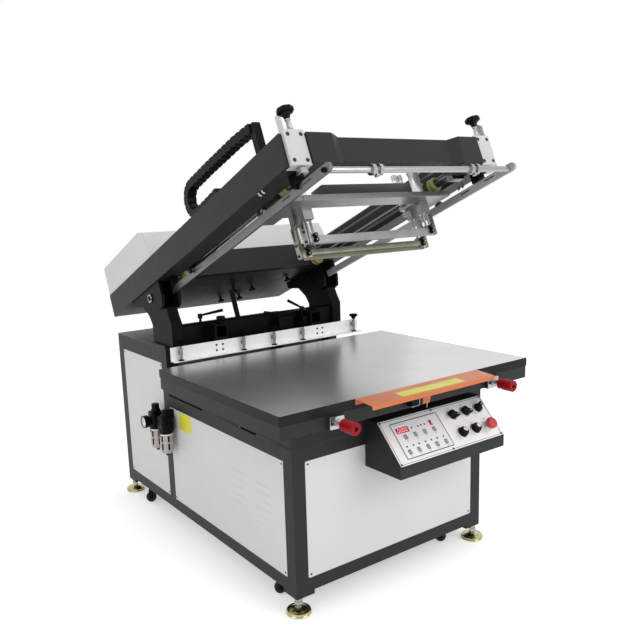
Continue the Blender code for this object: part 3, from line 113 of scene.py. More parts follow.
def finish(name, colour, rough, metal=0.0, tone=0.06, toneScale=3.0, grain=0.02, grainScale=400.0,
           stretch=(1.0, 1.0, 1.0), roughVary=0.08, edge=0.0012, wear=0.0,
           wearColour=(0.4, 0.4, 0.4), coat=0.0, shine=0.5, glow=0.0, sides=None):
    # One painted, moulded or machined surface: the colour drifts a little over a wide noise,
    # the gloss over a finer one, a fine grain lifts the normal, and edges are eased and can be
    # rubbed down to the metal.
    s = surface
    made = bpy.data.materials.new(name)
    made.use_nodes = True
    tree = made.node_tree
    place = addNode(tree, "TexCoord", {})["Object"]
    stretched = addNode(tree, "Mapping", {"Vector": place, "Scale": stretch})["Vector"]

    def noise(scale, detail, vector):
        given = {"Scale": scale, "Detail": detail, "Vector": vector}
        return addNode(tree, "TexNoise", given)["Fac"]

    def remap(value, low, high, fromLow=0.3, fromHigh=0.7):
        given = {"Value": value, "From Min": fromLow, "From Max": fromHigh, "To Min": low,
                 "To Max": high}
        return addNode(tree, "MapRange", given)["Result"]

    def mixed(factor, low, high):
        given = {"Factor": factor, "A": low, "B": high}
        return addNode(tree, "Mix", given, data_type="RGBA")["Result"]

    def times(first, second):
        return addNode(tree, "Math", {0: first, 1: second}, operation="MULTIPLY")["Value"]

    paint = mixed(remap(noise(toneScale, s["toneDetail"], place), 0.0, 1.0),
                  (*(c * (1.0 - tone) for c in colour), 1.0),
                  (*(min(1.0, c * (1.0 + tone)) for c in colour), 1.0))
    gloss = remap(noise(toneScale * s["glossScale"], s["glossDetail"], stretched),
                  max(0.02, rough - roughVary), min(1.0, rough + roughVary))
    bump = {"Strength": grain * s["grainGain"], "Distance": s["grainHigh"],
            "Height": noise(grainScale, s["grainDetail"], stretched)}
    inputs = {"Metallic": metal, "Specular IOR Level": shine, "Roughness": gloss}
    if coat:
        inputs.update({"Coat Weight": coat, "Coat Roughness": s["coatRough"]})
    if glow:
        inputs.update({"Emission Color": (*colour, 1.0), "Emission Strength": glow})
    if edge:
        bump["Normal"] = addNode(tree, "Bevel", {"Radius": edge}, samples=4)["Normal"]
    if edge and wear:
        # Rubbed where the eased normal leaves the flat one, in patches of a noise.
        flat = addNode(tree, "NewGeometry", {})["Normal"]
        facing = addNode(tree, "VectorMath", {0: bump["Normal"], 1: flat}, operation="DOT_PRODUCT")
        patches = remap(noise(s["patchScale"], s["patchDetail"], place), 0.0, 1.0, *s["patches"])
        rubbed = times(remap(facing["Value"], wear, 0.0, *s["rubbed"]), patches)
        paint = mixed(rubbed, paint, (*wearColour, 1.0))
    if sides:
        # The upright faces keep their own dark coat: the mix follows how far a face looks up.
        normal = addNode(tree, "NewGeometry", {})["True Normal"]
        upward = addNode(tree, "SeparateXYZ", {"Vector": normal})["Z"]
        isTop = remap(upward, 0.0, 1.0, *s["facesUp"])
        paint = mixed(isTop, (*sides, 1.0), paint)
        inputs["Metallic"] = times(isTop, metal)
    inputs.update({"Base Color": paint, "Normal": addNode(tree, "Bump", bump)["Normal"]})
    fillInputs(tree, tree.nodes["Principled BSDF"], inputs)
    return made


charcoal = finish("charcoal enamel", (0.0165, 0.0175, 0.018), 0.5, tone=0.05, grain=0.03,
                  grainScale=220.0, roughVary=0.02, edge=0.0022, wear=0.5,
                  wearColour=(0.12, 0.12, 0.12), shine=0.24)
lidGrey = finish("cabinet lid enamel", (0.105, 0.108, 0.11), 0.5, tone=0.05, grainScale=240.0,
                 roughVary=0.02, shine=0.3)
panelWhite = finish("light grey sheet enamel", (0.7, 0.71, 0.695), 0.46, tone=0.03, toneScale=2.0,
                    grainScale=260.0, edge=0.001)
hoodWhite = finish("hood enamel", (0.66, 0.675, 0.665), 0.42, tone=0.035, toneScale=2.5,
                   grainScale=260.0, edge=0.006)
plateSteel = finish("ground table steel", (0.45, 0.45, 0.452), 0.25, metal=0.84, tone=0.08,
                    toneScale=1.8, grain=0.0, roughVary=0.008, edge=0.0003, shine=0.08,
                    sides=(0.0165, 0.0175, 0.018))
blockWhite = finish("white enamel", (0.97, 0.965, 0.97), 0.3, tone=0.02, grain=0.008)
blockGrey = finish("pale block enamel", (0.6, 0.61, 0.62), 0.34, tone=0.03, grain=0.012)
# Black castings; the same finish also paints shade, on the arm hangers and in the table's seam.
castBlackAndShade = finish("black casting", (0.0035, 0.0035, 0.004), 0.42, tone=0.2, toneScale=20.0,
                   grain=0.07, grainScale=160.0, edge=0.0018, wear=0.3,
                   wearColour=(0.03, 0.03, 0.03), shine=0.07)
mouldedBlack = finish("moulded black", (0.003, 0.003, 0.0035), 0.36, tone=0.15, edge=0.0008,
                      shine=0.1)
polished = finish("polished steel", (0.42, 0.415, 0.43), 0.2, metal=1.0, tone=0.05, grain=0.0,
                  roughVary=0.03, edge=0.0006)
# The guide shafts' steel, far darker in colour than the polished steel: painted reflection of the
# dark beam over them.
shaftSteelPaintedDark = finish("shaft steel with painted dark reflection", (0.15, 0.15, 0.155), 0.2, metal=1.0, tone=0.05, grain=0.0,
                    roughVary=0.02, edge=0.0006)
milled = finish("milled aluminium", (0.3, 0.297, 0.305), 0.33, metal=1.0, toneScale=5.0, grain=0.0,
                roughVary=0.04, edge=0.0009)
# The screen arms are one alloy in two copies: the left arm's is darker, painted shade, and the
# right arm's lighter, painted light.
armShaded = finish("arm alloy with painted shade", (0.185, 0.187, 0.185), 0.34, metal=0.95, tone=0.12,
                  toneScale=6.0, grain=0.0, roughVary=0.05, edge=0.001)
armLit = finish("arm alloy with painted light", (0.46, 0.455, 0.46), 0.34, metal=0.35, toneScale=6.0,
                   grain=0.0, roughVary=0.04, edge=0.001)
bladeAlloy = finish("worn blade alloy", (0.27, 0.27, 0.275), 0.34, metal=1.0, tone=0.12,
                    toneScale=14.0, grain=0.0, roughVary=0.04, edge=0.0009)
holderAlloy = finish("yellowed alloy", (0.33, 0.325, 0.275), 0.32, metal=0.95, tone=0.15,
                     toneScale=20.0, grain=0.0, edge=0.0009)
brightAlloy = finish("bright alloy", (0.8, 0.79, 0.8), 0.28, metal=0.75, tone=0.03, grain=0.0,
                     roughVary=0.04, edge=0.0006)
zincYellow = finish("yellow zinc", (0.44, 0.41, 0.22), 0.15, metal=1.0, tone=0.22, toneScale=45.0,
                    grain=0.01, edge=0.001)
guardOrange = finish("orange enamel", (0.62, 0.18, 0.062), 0.38, tone=0.05, grain=0.01, edge=0.0006,
                     shine=0.3)
knobRed = finish("red moulding", (0.29, 0.004, 0.01), 0.36, tone=0.07, toneScale=40.0, grain=0.012,
                 edge=0.001, shine=0.15)
buttonRed = finish("red button", (0.5, 0.03, 0.04), 0.32, tone=0.05, grain=0.01, edge=0.001)
tyre = finish("black tread", (0.013, 0.013, 0.013), 0.62, tone=0.2, toneScale=60.0, grain=0.08,
              grainScale=90.0, edge=0.001, shine=0.3)
brushed = finish("brushed panel", (0.86, 0.86, 0.85), 0.38, metal=0.3, tone=0.03, toneScale=6.0,
                 grain=0.004, grainScale=700.0, stretch=(0.02, 1.0, 1.0), roughVary=0.04,
                 edge=0.0005)

nodeFinish = {
    "base_frame": charcoal, "table_bed": charcoal, "table_carrier": charcoal,
    "control_box": charcoal, "head_frame": charcoal,
    "front_panel": panelWhite, "rear_panel": panelWhite, "side_panel": panelWhite,
    "cabinet_top": lidGrey, "head_hood": hoodWhite,
    "table_top": plateSteel, "register_bar": blockWhite, "end_block": blockGrey,
    "rear_beam": castBlackAndShade, "hinge_post": castBlackAndShade, "pivot_bracket": castBlackAndShade,
    "air_unit": mouldedBlack, "regulator_knob": mouldedBlack, "cable_chain": mouldedBlack,
    "height_screw": mouldedBlack, "selector": mouldedBlack, "dial": mouldedBlack,
    "caster_fork": mouldedBlack, "caster_wheel": tyre,
    "front_rod": polished, "guide_shaft": shaftSteelPaintedDark, "lift_cylinder": polished,
    "lift_rod": polished, "screen_arm": armShaded, "carriage": milled,
    "flood_bar": bladeAlloy, "squeegee_bar": holderAlloy,
    "control_panel": brushed, "guard_strip": guardOrange, "adjust_knob": knobRed,
    "stop_button": buttonRed, "foot": zincYellow,
}
for nodeName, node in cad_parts.items():
    key = max((k for k in nodeFinish if nodeName.startswith(k)), key=len)
    node.data.materials.clear()
    node.data.materials.append(nodeFinish[key])
print("stage: finishes on the solids")


# Ways to make a mesh
def gridShape(points, around=False, along=False):
    # A sheet of quads over a grid of points (rows x columns), joined up across the columns
    # when it runs around, and across the rows when it runs along a closed path.
    rows, columns = points.shape[:2]
    i = np.arange(rows if along else rows - 1)[:, None]
    j = np.arange(columns if around else columns - 1)[None, :]
    nextI, nextJ = (i + 1) % rows, (j + 1) % columns
    quads = np.stack([i * columns + j, i * columns + nextJ,
                      nextI * columns + nextJ, nextI * columns + j], axis=-1)
    return points.reshape(-1, 3), [quads.reshape(-1, 4)]


def capped(shape, rows, columns):
    # Closes the first and the last row of a grid that runs around.
    points, faces = shape
    first = np.arange(columns)[None, ::-1]
    last = (rows - 1) * columns + np.arange(columns)[None, :]
    return points, faces + [first, last]


def acrossAxis(axis):
    # Two unit vectors square to an axis and to each other.
    axis = np.asarray(axis, float) / np.linalg.norm(axis)
    side = np.cross(axis, (0.0, 0.0, 1.0) if abs(axis[2]) < 0.9 else (0.0, 1.0, 0.0))
    side /= np.linalg.norm(side)
    return axis, side, np.cross(axis, side)


def turnedShape(profile, centre, axis=(0, 0, 1), steps=32, lobes=0, depth=0.0):
    # A profile of (radius, height) turned round an axis: centre + axis * height + radius * the
    # circle of the angle. With lobes, the radius swells by depth times a cosine of the angle.
    profile = np.asarray(profile, float)
    axis, side, other = acrossAxis(axis)
    angle = np.linspace(0.0, 2 * np.pi, steps, endpoint=False)
    swell = 1.0 + depth * np.cos(lobes * angle) if lobes else np.ones(steps)
    circle = side * (np.cos(angle) * swell)[:, None] + other * (np.sin(angle) * swell)[:, None]
    radius = np.maximum(profile[:, 0], 1e-5)
    points = (np.asarray(centre, float) + axis * profile[:, None, 1:2]
              + circle[None] * radius[:, None, None])
    return capped(gridShape(points, around=True), len(profile), steps)


def rodProfile(radius, low, high):
    # The profile of a plain round rod.
    return [(0, low), (radius, low), (radius, high), (0, high)]


def ringShape(section, centre, axis, steps):
    # A closed section of (radius, height) turned round an axis into a ring.
    section = np.asarray(section, float)
    axis, side, other = acrossAxis(axis)
    angle = np.linspace(0, 2 * np.pi, steps, endpoint=False)
    circle = side * np.cos(angle)[:, None] + other * np.sin(angle)[:, None]
    points = (np.asarray(centre, float) + axis * section[:, None, 1:2]
              + circle[None] * section[:, None, 0:1])
    return gridShape(points, around=True, along=True)


def roundedOutline(width, height, radius, steps=5):
    # A rectangle about the origin whose corners are quarter circles.
    corner = np.array([[1, 1], [-1, 1], [-1, -1], [1, -1]], float)
    radius = min(radius, width / 2 - 1e-6, height / 2 - 1e-6)
    middle = corner * (width / 2 - radius, height / 2 - radius)
    angle = np.linspace(0, np.pi / 2, steps)[None] + np.arange(4)[:, None] * np.pi / 2
    arcs = middle[:, None] + radius * np.stack([np.cos(angle), np.sin(angle)], axis=-1)
    return arcs.reshape(-1, 2)


def plateShape(outline, low, high, edge, place=None):
    # An outline (u, v) raised from low to high: its rings step in by the eased edge's quarter
    # circle, moving each point along the outline's own normal. Place carries it (u, v, w) -> space.
    outline = np.asarray(outline, float)
    ahead = np.roll(outline, -1, axis=0) - outline
    behind = outline - np.roll(outline, 1, axis=0)
    unit = lambda v: v / np.maximum(np.linalg.norm(v, axis=1, keepdims=True), 1e-9)
    tangent = unit(unit(ahead) + unit(behind))
    area = 0.5 * np.sum(outline[:, 0] * np.roll(outline[:, 1], -1)
                        - np.roll(outline[:, 0], -1) * outline[:, 1])
    inward = np.stack([-tangent[:, 1], tangent[:, 0]], axis=1) * np.sign(area)
    edge = min(edge, (high - low) * 0.45)  # the edge takes less than half of the height
    angle = np.linspace(0, np.pi / 2, 3)
    inset = edge * (1 - np.cos(angle))
    rise = edge * np.sin(angle)
    insets = np.concatenate([[0.0], inset])
    heights = np.concatenate([[low], high - edge + rise])
    flat = outline[None] + inward[None] * insets[:, None, None]
    points = np.concatenate([flat, np.broadcast_to(heights[:, None, None],
                                                   (len(heights), len(outline), 1))], axis=2)
    shape = capped(gridShape(points, around=True), len(heights), len(outline))
    return moved(shape, place) if place is not None else shape


def boxShape(low, high, edge=0.001):
    # A box between two corners with eased top edges and rounded upright ones.
    low, high = np.minimum(low, high), np.maximum(low, high)
    size = high - low
    outline = roundedOutline(size[0], size[1], edge * 1.5, 3) + (low[:2] + high[:2]) / 2
    return plateShape(outline, low[2], high[2], edge)


def slabShape(spec, edge):
    # A box that reaches as far to the left as to the right, from its own dictionary.
    return boxShape((-spec["half"], spec["front"], spec["low"]),
                    (spec["half"], spec["rear"], spec["high"]), edge)


def atHeight(flat, height):
    # Gives the points (u, v) of an outline one height.
    return np.concatenate([flat, np.full((len(flat), 1), height)], axis=1)


def tubeShape(path, radius, steps=12):
    # A circle carried along a path: at each point it lies square to the path's direction.
    path = np.asarray(path, float)
    tangent = np.gradient(path, axis=0)
    tangent /= np.maximum(np.linalg.norm(tangent, axis=1, keepdims=True), 1e-9)
    first = acrossAxis(tangent[0])[1]
    side = first[None] - tangent * (tangent @ first)[:, None]
    side /= np.maximum(np.linalg.norm(side, axis=1, keepdims=True), 1e-9)
    other = np.cross(tangent, side)
    angle = np.linspace(0, 2 * np.pi, steps, endpoint=False)
    cosine, sine = np.cos(angle)[None, :, None], np.sin(angle)[None, :, None]
    points = path[:, None] + radius * (side[:, None] * cosine + other[:, None] * sine)
    return capped(gridShape(points, around=True), len(path), steps)


def moved(shape, place):
    # Carries a shape's points through a matrix.
    points, faces = shape
    turn = np.array(place.to_3x3())
    return points @ turn.T + np.array(place.to_translation()), faces


def joined(shapes):
    # Puts several shapes' points and faces together.
    points, faces, start = [], [], 0
    for shapePoints, shapeFaces in shapes:
        points.append(shapePoints)
        faces += [face + start for face in shapeFaces]
        start += len(shapePoints)
    return np.concatenate(points), faces


def makePiece(name, shapes, material, body, place=None, smooth=40.0, stands=None, closed=True):
    # Writes the shapes into one mesh, closes its seams, turns its faces outward, and rides it.
    points, faces = joined(shapes if isinstance(shapes, list) else [shapes])
    mesh = bpy.data.meshes.new(name)
    mesh.from_pydata(points.tolist(), [], [row for face in faces for row in face.tolist()])
    if place is not None:
        mesh.transform(place)
    work = bmesh.new()
    work.from_mesh(mesh)
    bmesh.ops.remove_doubles(work, verts=work.verts, dist=2e-5)  # points within 0.02 mm
    if closed:
        bmesh.ops.recalc_face_normals(work, faces=work.faces)
    work.to_mesh(mesh)
    work.free()
    mesh.polygons.foreach_set("use_smooth", np.ones(len(mesh.polygons), bool))
    mesh.set_sharp_from_angle(angle=math.radians(smooth))
    mesh.materials.append(material)
    made = bpy.data.objects.new(name, mesh)
    bpy.context.scene.collection.objects.link(made)
    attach(made, body)
    if stands:
        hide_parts(stands)


def headPiece(name, shapes, material, **more):
    # A piece fixed to the head: y runs back from the pivot, z up from it, with the head level.
    makePiece(name, shapes, material, "print_head", headFrame, **more)


def basePiece(name, shapes, material, **more):
    # A piece fixed to the base: y runs back from the table's front edge.
    makePiece(name, shapes, material, "machine_base", floorFrame, **more)


def facePiece(name, shapes, material, **more):
    # A piece fixed to the sloping control panel: v runs up its face, w stands off it.
    makePiece(name, shapes, material, "machine_base", panelFrame, **more)


# Floor, sky and lamps
stage = dict(floor=0.9, glow=0.42, sky=0.62, reach=14.0)
plainWhite = (1.0, 1.0, 1.0, 1.0)
# each lamp: its place, what it faces, its size and its power
lamps = dict(key=((1.4, -4.4, 3.0), (0.0, -0.3, 0.7), (2.6, 2.0), 52.0),
             low=((0.2, -4.6, 1.2), (0.0, 0.0, 0.8), (3.0, 1.2), 22.0),
             side=((-4.2, -1.2, 2.2), (0.0, 0.0, 0.7), (2.4, 2.0), 34.0),
             back=((4.0, 1.7, 2.4), (0.2, -0.4, 0.8), (2.6, 2.2), 7.0),
             over=((0.3, 0.0, 4.4), (0.0, -0.1, 0.9), (3.0, 3.0), 22.0))


def seenDirectly(tree):
    # 1 for a ray from the camera, one mirrored by metal, or one that passes through glass.
    ray = addNode(tree, "LightPath", {})
    either = ray["Is Camera Ray"]
    for name in ("Is Glossy Ray", "Is Transmission Ray"):
        either = addNode(tree, "Math", {0: either, 1: ray[name]}, operation="MAXIMUM")["Value"]
    return either


def makeFloor(spec):
    # A wide flat sheet, white to the camera and in reflections, that keeps the soft shadow.
    mesh = bpy.data.meshes.new("floor")
    reach = spec["reach"]
    mesh.from_pydata([(-reach, -reach, 0), (reach, -reach, 0), (reach, reach, 0),
                      (-reach, reach, 0)], [], [(0, 1, 2, 3)])
    floor = bpy.data.objects.new("floor", mesh)
    bpy.context.scene.collection.objects.link(floor)
    paint = bpy.data.materials.new("pale floor")
    paint.use_nodes = True
    tree = paint.node_tree
    level = addNode(tree, "Math", {0: seenDirectly(tree), 1: spec["glow"]}, operation="MULTIPLY")
    fillInputs(tree, tree.nodes["Principled BSDF"],
               {"Base Color": (spec["floor"],) * 3 + (1.0,), "Roughness": 0.9,
                "Emission Color": plainWhite, "Emission Strength": level["Value"]})
    mesh.materials.append(paint)


def makeWorld(spec):
    # Plain soft sky light, and plain white where a ray goes straight to it.
    world = bpy.data.worlds.new("studio")
    bpy.context.scene.world = world
    world.use_nodes = True
    tree = world.node_tree
    sky = tree.nodes["Background"]
    fillInputs(tree, sky, {"Color": plainWhite, "Strength": spec["sky"]})
    straight = addNode(tree, "Background", {"Color": plainWhite, "Strength": 1.0})["Background"]
    mix = addNode(tree, "MixShader", {"Fac": seenDirectly(tree), 1: sky.outputs["Background"],
                                      2: straight})
    fillInputs(tree, tree.nodes["World Output"], {"Surface": mix["Shader"]})


def makeLamp(name, place, target, size, power):
    # A rectangular lamp at a place, turned to face its target.
    data = bpy.data.lights.new(name, "AREA")
    data.shape = "RECTANGLE"
    data.size, data.size_y = size
    data.energy = power
    made = bpy.data.objects.new(name, data)
    bpy.context.scene.collection.objects.link(made)
    made.location = place
    made.rotation_euler = (Vector(target) - Vector(place)).to_track_quat("-Z", "Y").to_euler()


bpy.context.scene.view_settings.view_transform = "Standard"
makeFloor(stage)
makeWorld(stage)
for name, spec in lamps.items():
    makeLamp(name, *spec)
print("stage: floor and lamps")


# Head: screws, sleeves, buffers and hangers
bumperGreen = finish("cast urethane", (0.33, 0.34, 0.085), 0.34, tone=0.14, toneScale=30.0,
                     edge=0.001, coat=0.3)
# Blackened screws; the same finish also paints the shade in the open slots of the screen arms and
# the blade hangers.
darkSteelAndShade = finish("blackened steel and painted slot shade", (0.03, 0.03, 0.032), 0.34, metal=0.6, tone=0.15, grain=0.03,
                   edge=0.0005)
leftRight = (("left", -1), ("right", 1))
forward = (0, -1, 0)


def socketScrew(centre, axis, radius, rise, steps=18):
    # A cap screw turned round its axis: straight side, eased rim, and a sunk socket.
    profile = [(0, 0), (radius, 0), (radius, rise * 0.84), (radius * 0.92, rise),
               (radius * 0.58, rise), (radius * 0.54, rise * 0.5), (0, rise * 0.5)]
    return turnedShape(profile, centre, axis, steps)


blockScrews = dict(xs=(0.4178, 0.4682), zs=(0.065, 0.1535), y=-1.2401, radius=0.0068, rise=0.0012)
headPiece("block_screws",
          [socketScrew((sign * x, blockScrews["y"], z), forward, blockScrews["radius"],
                       blockScrews["rise"])
           for sign in (-1, 1) for x in blockScrews["xs"] for z in blockScrews["zs"]],
          darkSteelAndShade)

sleeve = dict(x=0.441, y=-1.224, foot=0.1708, top=0.2118, wide=0.0125, slim=0.0078, lip=0.0022,
              spindleR=0.006, spindleLow=0.028, spindleHigh=0.215)
screwGrip = [(0, 0.209), (0.0085, 0.209), (0.01, 0.217), (0.0165, 0.232), (0.0262, 0.2345),
             (0.0284, 0.2375), (0.0284, 0.247), (0.0266, 0.25), (0.0185, 0.252), (0.0125, 0.2552),
             (0, 0.2554)]


def screwSleeve(at):
    # The cone-footed sleeve with a lip at its top, and the spindle that runs through it.
    s = sleeve
    wide, slim, lip = s["wide"], s["slim"], s["slim"] + s["lip"]
    profile = [(0, s["foot"]), (wide, s["foot"]), (wide, s["foot"] + 0.005),
               (wide - 0.002, s["foot"] + 0.007), (slim, s["top"] - 0.006),
               (lip, s["top"] - 0.004), (lip, s["top"]), (0, s["top"])]
    spindle = rodProfile(s["spindleR"], s["spindleLow"], s["spindleHigh"])
    return [turnedShape(profile, at), turnedShape(spindle, at, steps=20)]


for side, sign in leftRight:
    at = (sign * sleeve["x"], sleeve["y"], 0.0)
    body = "height_screw_" + side + "_body"
    makePiece("screw_sleeve_" + side, screwSleeve(at), polished, body, headFrame)
    makePiece("screw_grip_" + side, turnedShape(screwGrip, at, steps=64, lobes=8, depth=0.035),
              mouldedBlack, body, headFrame, stands="height_screw_" + side)

nutBlock = dict(x=0.441, front=-1.241, rear=-1.211, low=0.0222, high=0.0405, half=0.0145)
headPiece("nut_blocks",
          [boxShape((sign * nutBlock["x"] - nutBlock["half"], nutBlock["front"], nutBlock["low"]),
                    (sign * nutBlock["x"] + nutBlock["half"], nutBlock["rear"], nutBlock["high"]),
                    0.0015)
           for sign in (-1, 1)],
          polished)

# Hanger blocks laid over the aluminium ones and painted black: the black is painted shade, for the
# shadow under the beam.
hangers = dict(x=0.43, half=0.0164, low=0.0068, high=0.0466, ys=(-1.1974, -0.1634), length=0.0428)
headPiece("arm_hangers_shaded",
          [boxShape((sign * hangers["x"] - hangers["half"], y, hangers["low"]),
                    (sign * hangers["x"] + hangers["half"], y + hangers["length"], hangers["high"]),
                    0.0012)
           for sign in (-1, 1) for y in hangers["ys"]],
          castBlackAndShade)

bevel = dict(wide=0.299, slim=0.258, wideFront=-1.2478, slimFront=-1.2273, rear=-1.1465,
             wideZ=(0.0522, 0.1583), slimZ=(0.0648, 0.1537))


def bevelShape(sign):
    # A four-sided taper from the corner sleeve's section down to the front beam's.
    def section(x, front, heights):
        low, high = heights
        return [(sign * x, front, low), (sign * x, front, high),
                (sign * x, bevel["rear"], high), (sign * x, bevel["rear"], low)]

    points = np.array([section(bevel["wide"], bevel["wideFront"], bevel["wideZ"]),
                       section(bevel["slim"], bevel["slimFront"], bevel["slimZ"])])
    return capped(gridShape(points, around=True), 2, 4)


headPiece("sleeve_bevels", [bevelShape(-1), bevelShape(1)], charcoal, smooth=20.0)

arm = dict(x=0.43, thick=0.012, low=-0.023, high=0.008, front=-1.355, rear=-0.118,
           slots=(-1.255, -1.127, -0.43), slotL=0.05, slotZ=-0.004, slotH=0.005, proud=0.0002)
# u runs back, v up and w across
alongArm = Matrix(((0, 0, 1, 0), (1, 0, 0, 0), (0, 1, 0, 0), (0, 0, 0, 1)))


def armBar(sign):
    # The flat bar in outline: a half circle round its front end, square at the rear.
    a = arm
    radius = (a["high"] - a["low"]) / 2
    t = np.linspace(-np.pi / 2, -3 * np.pi / 2, 15)
    nose = np.stack([a["front"] + radius + radius * np.cos(t),
                     a["low"] + radius + radius * np.sin(t)], axis=1)
    outline = np.concatenate([nose, [(a["rear"], a["high"]), (a["rear"], a["low"])]])[::-1]
    middle = sign * a["x"]
    return plateShape(outline, middle - a["thick"] / 2, middle + a["thick"] / 2, 0.0008, alongArm)


def armSlotShades(sign):
    # Dark plates where the bar's open slots are, painted shade for the slots, with round ends, a
    # hair proud of both its faces.
    a = arm
    near = sign * a["x"] - a["thick"] / 2 - a["proud"]
    far = sign * a["x"] + a["thick"] / 2 + a["proud"]
    ends = roundedOutline(a["slotL"], a["slotH"], a["slotH"] / 2)
    return [plateShape(ends + (y + a["slotL"] / 2, a["slotZ"]), near, far, 0.0001, alongArm)
            for y in a["slots"]]


# Each arm's bar: the left one takes the copy with painted shade, the right one the copy with
# painted light.
for side, sign in leftRight:
    headPiece("arm_bar_" + side, armBar(sign), armShaded if sign < 0 else armLit,
              stands="screen_arm_" + side)
headPiece("arm_slot_shade", armSlotShades(-1) + armSlotShades(1), darkSteelAndShade)

# each spot: y, z, radius and rise of a screw
fittings = dict(face=0.4361, knobY=-0.348, knobZ=0.006, knobR=0.0095,
                spots=((-1.326, -0.01, 0.0086, 0.0076), (-1.176, 0.003, 0.0085, 0.015)))


def armFittings(sign):
    # The black screws at the rod's end and the clamp, and the lobed hand knob.
    f = fittings
    r = f["knobR"]
    knob = [(0, 0.0045), (r * 0.95, 0.0045), (r, 0.006), (r, 0.0135), (r * 0.9, 0.0155), (0, 0.016)]
    screws = [socketScrew((sign * f["face"], y, z), (sign, 0, 0), radius, rise, 20)
              for y, z, radius, rise in f["spots"]]
    return screws + [turnedShape(knob, (sign * f["face"], f["knobY"], f["knobZ"]), (sign, 0, 0), 40,
                                 lobes=5, depth=0.1)]


headPiece("arm_fittings", armFittings(-1) + armFittings(1), mouldedBlack)

armNut = dict(x=0.426, y=-0.948, z=0.018, stubX=(0.424, 0.436), stubY=(-0.966, -0.93),
              stubZ=(0.007, 0.017))
clips = dict(x=0.4785, z=0.054, reach=0.0095, rise=0.016, wire=0.0038, ys=(-1.052, -1.03))


def armNuts(sign):
    # A bright collar nut with a stub on the arm's top edge.
    n = armNut
    (x0, x1), (y0, y1), (z0, z1) = n["stubX"], n["stubY"], n["stubZ"]
    profile = [(0, 0.0), (0.0085, 0.0), (0.0095, 0.0015), (0.0095, 0.0085), (0.0085, 0.01),
               (0.0055, 0.01), (0.0055, 0.0135), (0, 0.0135)]
    return [turnedShape(profile, (sign * n["x"], n["y"], n["z"]), (sign, 0, 0), 6),
            boxShape((sign * x0, y0, z0), (sign * x1, y1, z1), 0.0012)]


def beamClips(sign):
    # Two clips of round bar under the beam, each bent along a half ellipse.
    c = clips
    t = np.linspace(0, np.pi, 9)
    return [tubeShape(np.stack([sign * (c["x"] + c["reach"] * np.sin(t)), np.full(9, y),
                                c["z"] - c["rise"] * np.cos(t)], axis=1), c["wire"])
            for y in c["ys"]]


headPiece("arm_nuts", [shape for sign in (-1, 1) for shape in armNuts(sign) + beamClips(sign)],
          polished)
pivotNut = [(0, 0.49), (0.0204, 0.49), (0.0212, 0.4908), (0.0212, 0.4952), (0.02, 0.4964),
            (0.0108, 0.4964), (0.0104, 0.4958), (0, 0.4958)]
makePiece("pivot_nuts", [turnedShape(pivotNut, (0, 0, 0), (sign, 0, 0), 6) for sign in (-1, 1)],
          polished, "machine_base", headFrame)

buffers = dict(x=0.36, z=0.067, radius=0.0276, length=0.0358, bore=0.013, rim=0.003, groove=0.0012,
               starts=(-1.0334, -0.1707))


def bufferShape(sign, start):
    # A urethane buffer: a groove round its middle and an eased rim at each end.
    b = buffers
    r, l, rim, waist = b["radius"], b["length"], b["rim"], b["radius"] - b["groove"]
    profile = [(b["bore"], 0), (r - rim, 0), (r, rim), (r, l * 0.4), (waist, l * 0.44),
               (waist, l * 0.5), (r, l * 0.54), (r, l - rim), (r - rim, l), (b["bore"], l)]
    return turnedShape(profile, (sign * b["x"], start, b["z"]), (0, 1, 0), 36)


headPiece("shaft_buffers",
          [bufferShape(sign, start) for sign in (-1, 1) for start in buffers["starts"]],
          bumperGreen)
print("stage: head fittings")


# Carriage: cover, cylinder tubes, blade knobs and the rubber
coverGrey = finish("carriage cover enamel", (0.05, 0.049, 0.049), 0.34, tone=0.02, grain=0.01,
                   grainScale=260.0, roughVary=0.01, edge=0.0015)
# A whitened strip along the carriage's front top edge: painted highlight for the light on the edge
# of the aluminium plate.
lipHighlight = finish("carriage lip painted highlight", (0.93, 0.925, 0.92), 0.3, metal=0.25, tone=0.02, grain=0.0,
                  edge=0.0004)
cover = dict(half=0.2166, front=-1.0316, rear=-0.9594, low=0.0232, high=0.0736)
makePiece("carriage_cover", slabShape(cover, 0.0022), coverGrey, "print_carriage", headFrame)

cylinders = dict(x=0.288, y=-0.99, low=0.0232, high=0.129, top=0.1506, radius=0.0228, cap=0.0246,
                 footHigh=0.012, postY=-0.927, posts=(0.275, 0.245), postR=0.0104, postCap=0.0114)


def cylinderTubes(sign):
    # A bright tube with a shallow step near each end, and its twin posts.
    c = cylinders
    r, foot, top = c["radius"], c["low"] + c["footHigh"], c["high"]
    tube = [(0, foot), (r, foot), (r, c["low"] + 0.02), (r - 0.0006, c["low"] + 0.021),
            (r - 0.0006, top - 0.004), (r, top - 0.003), (r, top), (0, top)]
    post = rodProfile(c["postR"], c["low"], top)
    return ([turnedShape(tube, (sign * c["x"], c["y"], 0.0), steps=40)]
            + [turnedShape(post, (sign * x, c["postY"], 0.0), steps=24) for x in c["posts"]])


def cylinderCaps(sign):
    # Square-shouldered end caps with a turned groove, and small ones on the twin posts.
    c = cylinders
    r, low, high, top = c["cap"], c["low"], c["high"], c["top"]
    head = [(0, high), (r, high), (r, high + 0.007), (r - 0.0014, high + 0.0085),
            (r - 0.0014, high + 0.0105), (r, high + 0.012), (r, top - 0.003), (r - 0.003, top),
            (0, top)]
    foot = rodProfile(r, low, low + c["footHigh"])
    p = c["postCap"]
    end = [(0, high), (p, high), (p, top - 0.0015), (p - 0.0015, top), (0, top)]
    return ([turnedShape(cap, (sign * c["x"], c["y"], 0.0), steps=40) for cap in (head, foot)]
            + [turnedShape(end, (sign * x, c["postY"], 0.0), steps=24) for x in c["posts"]])


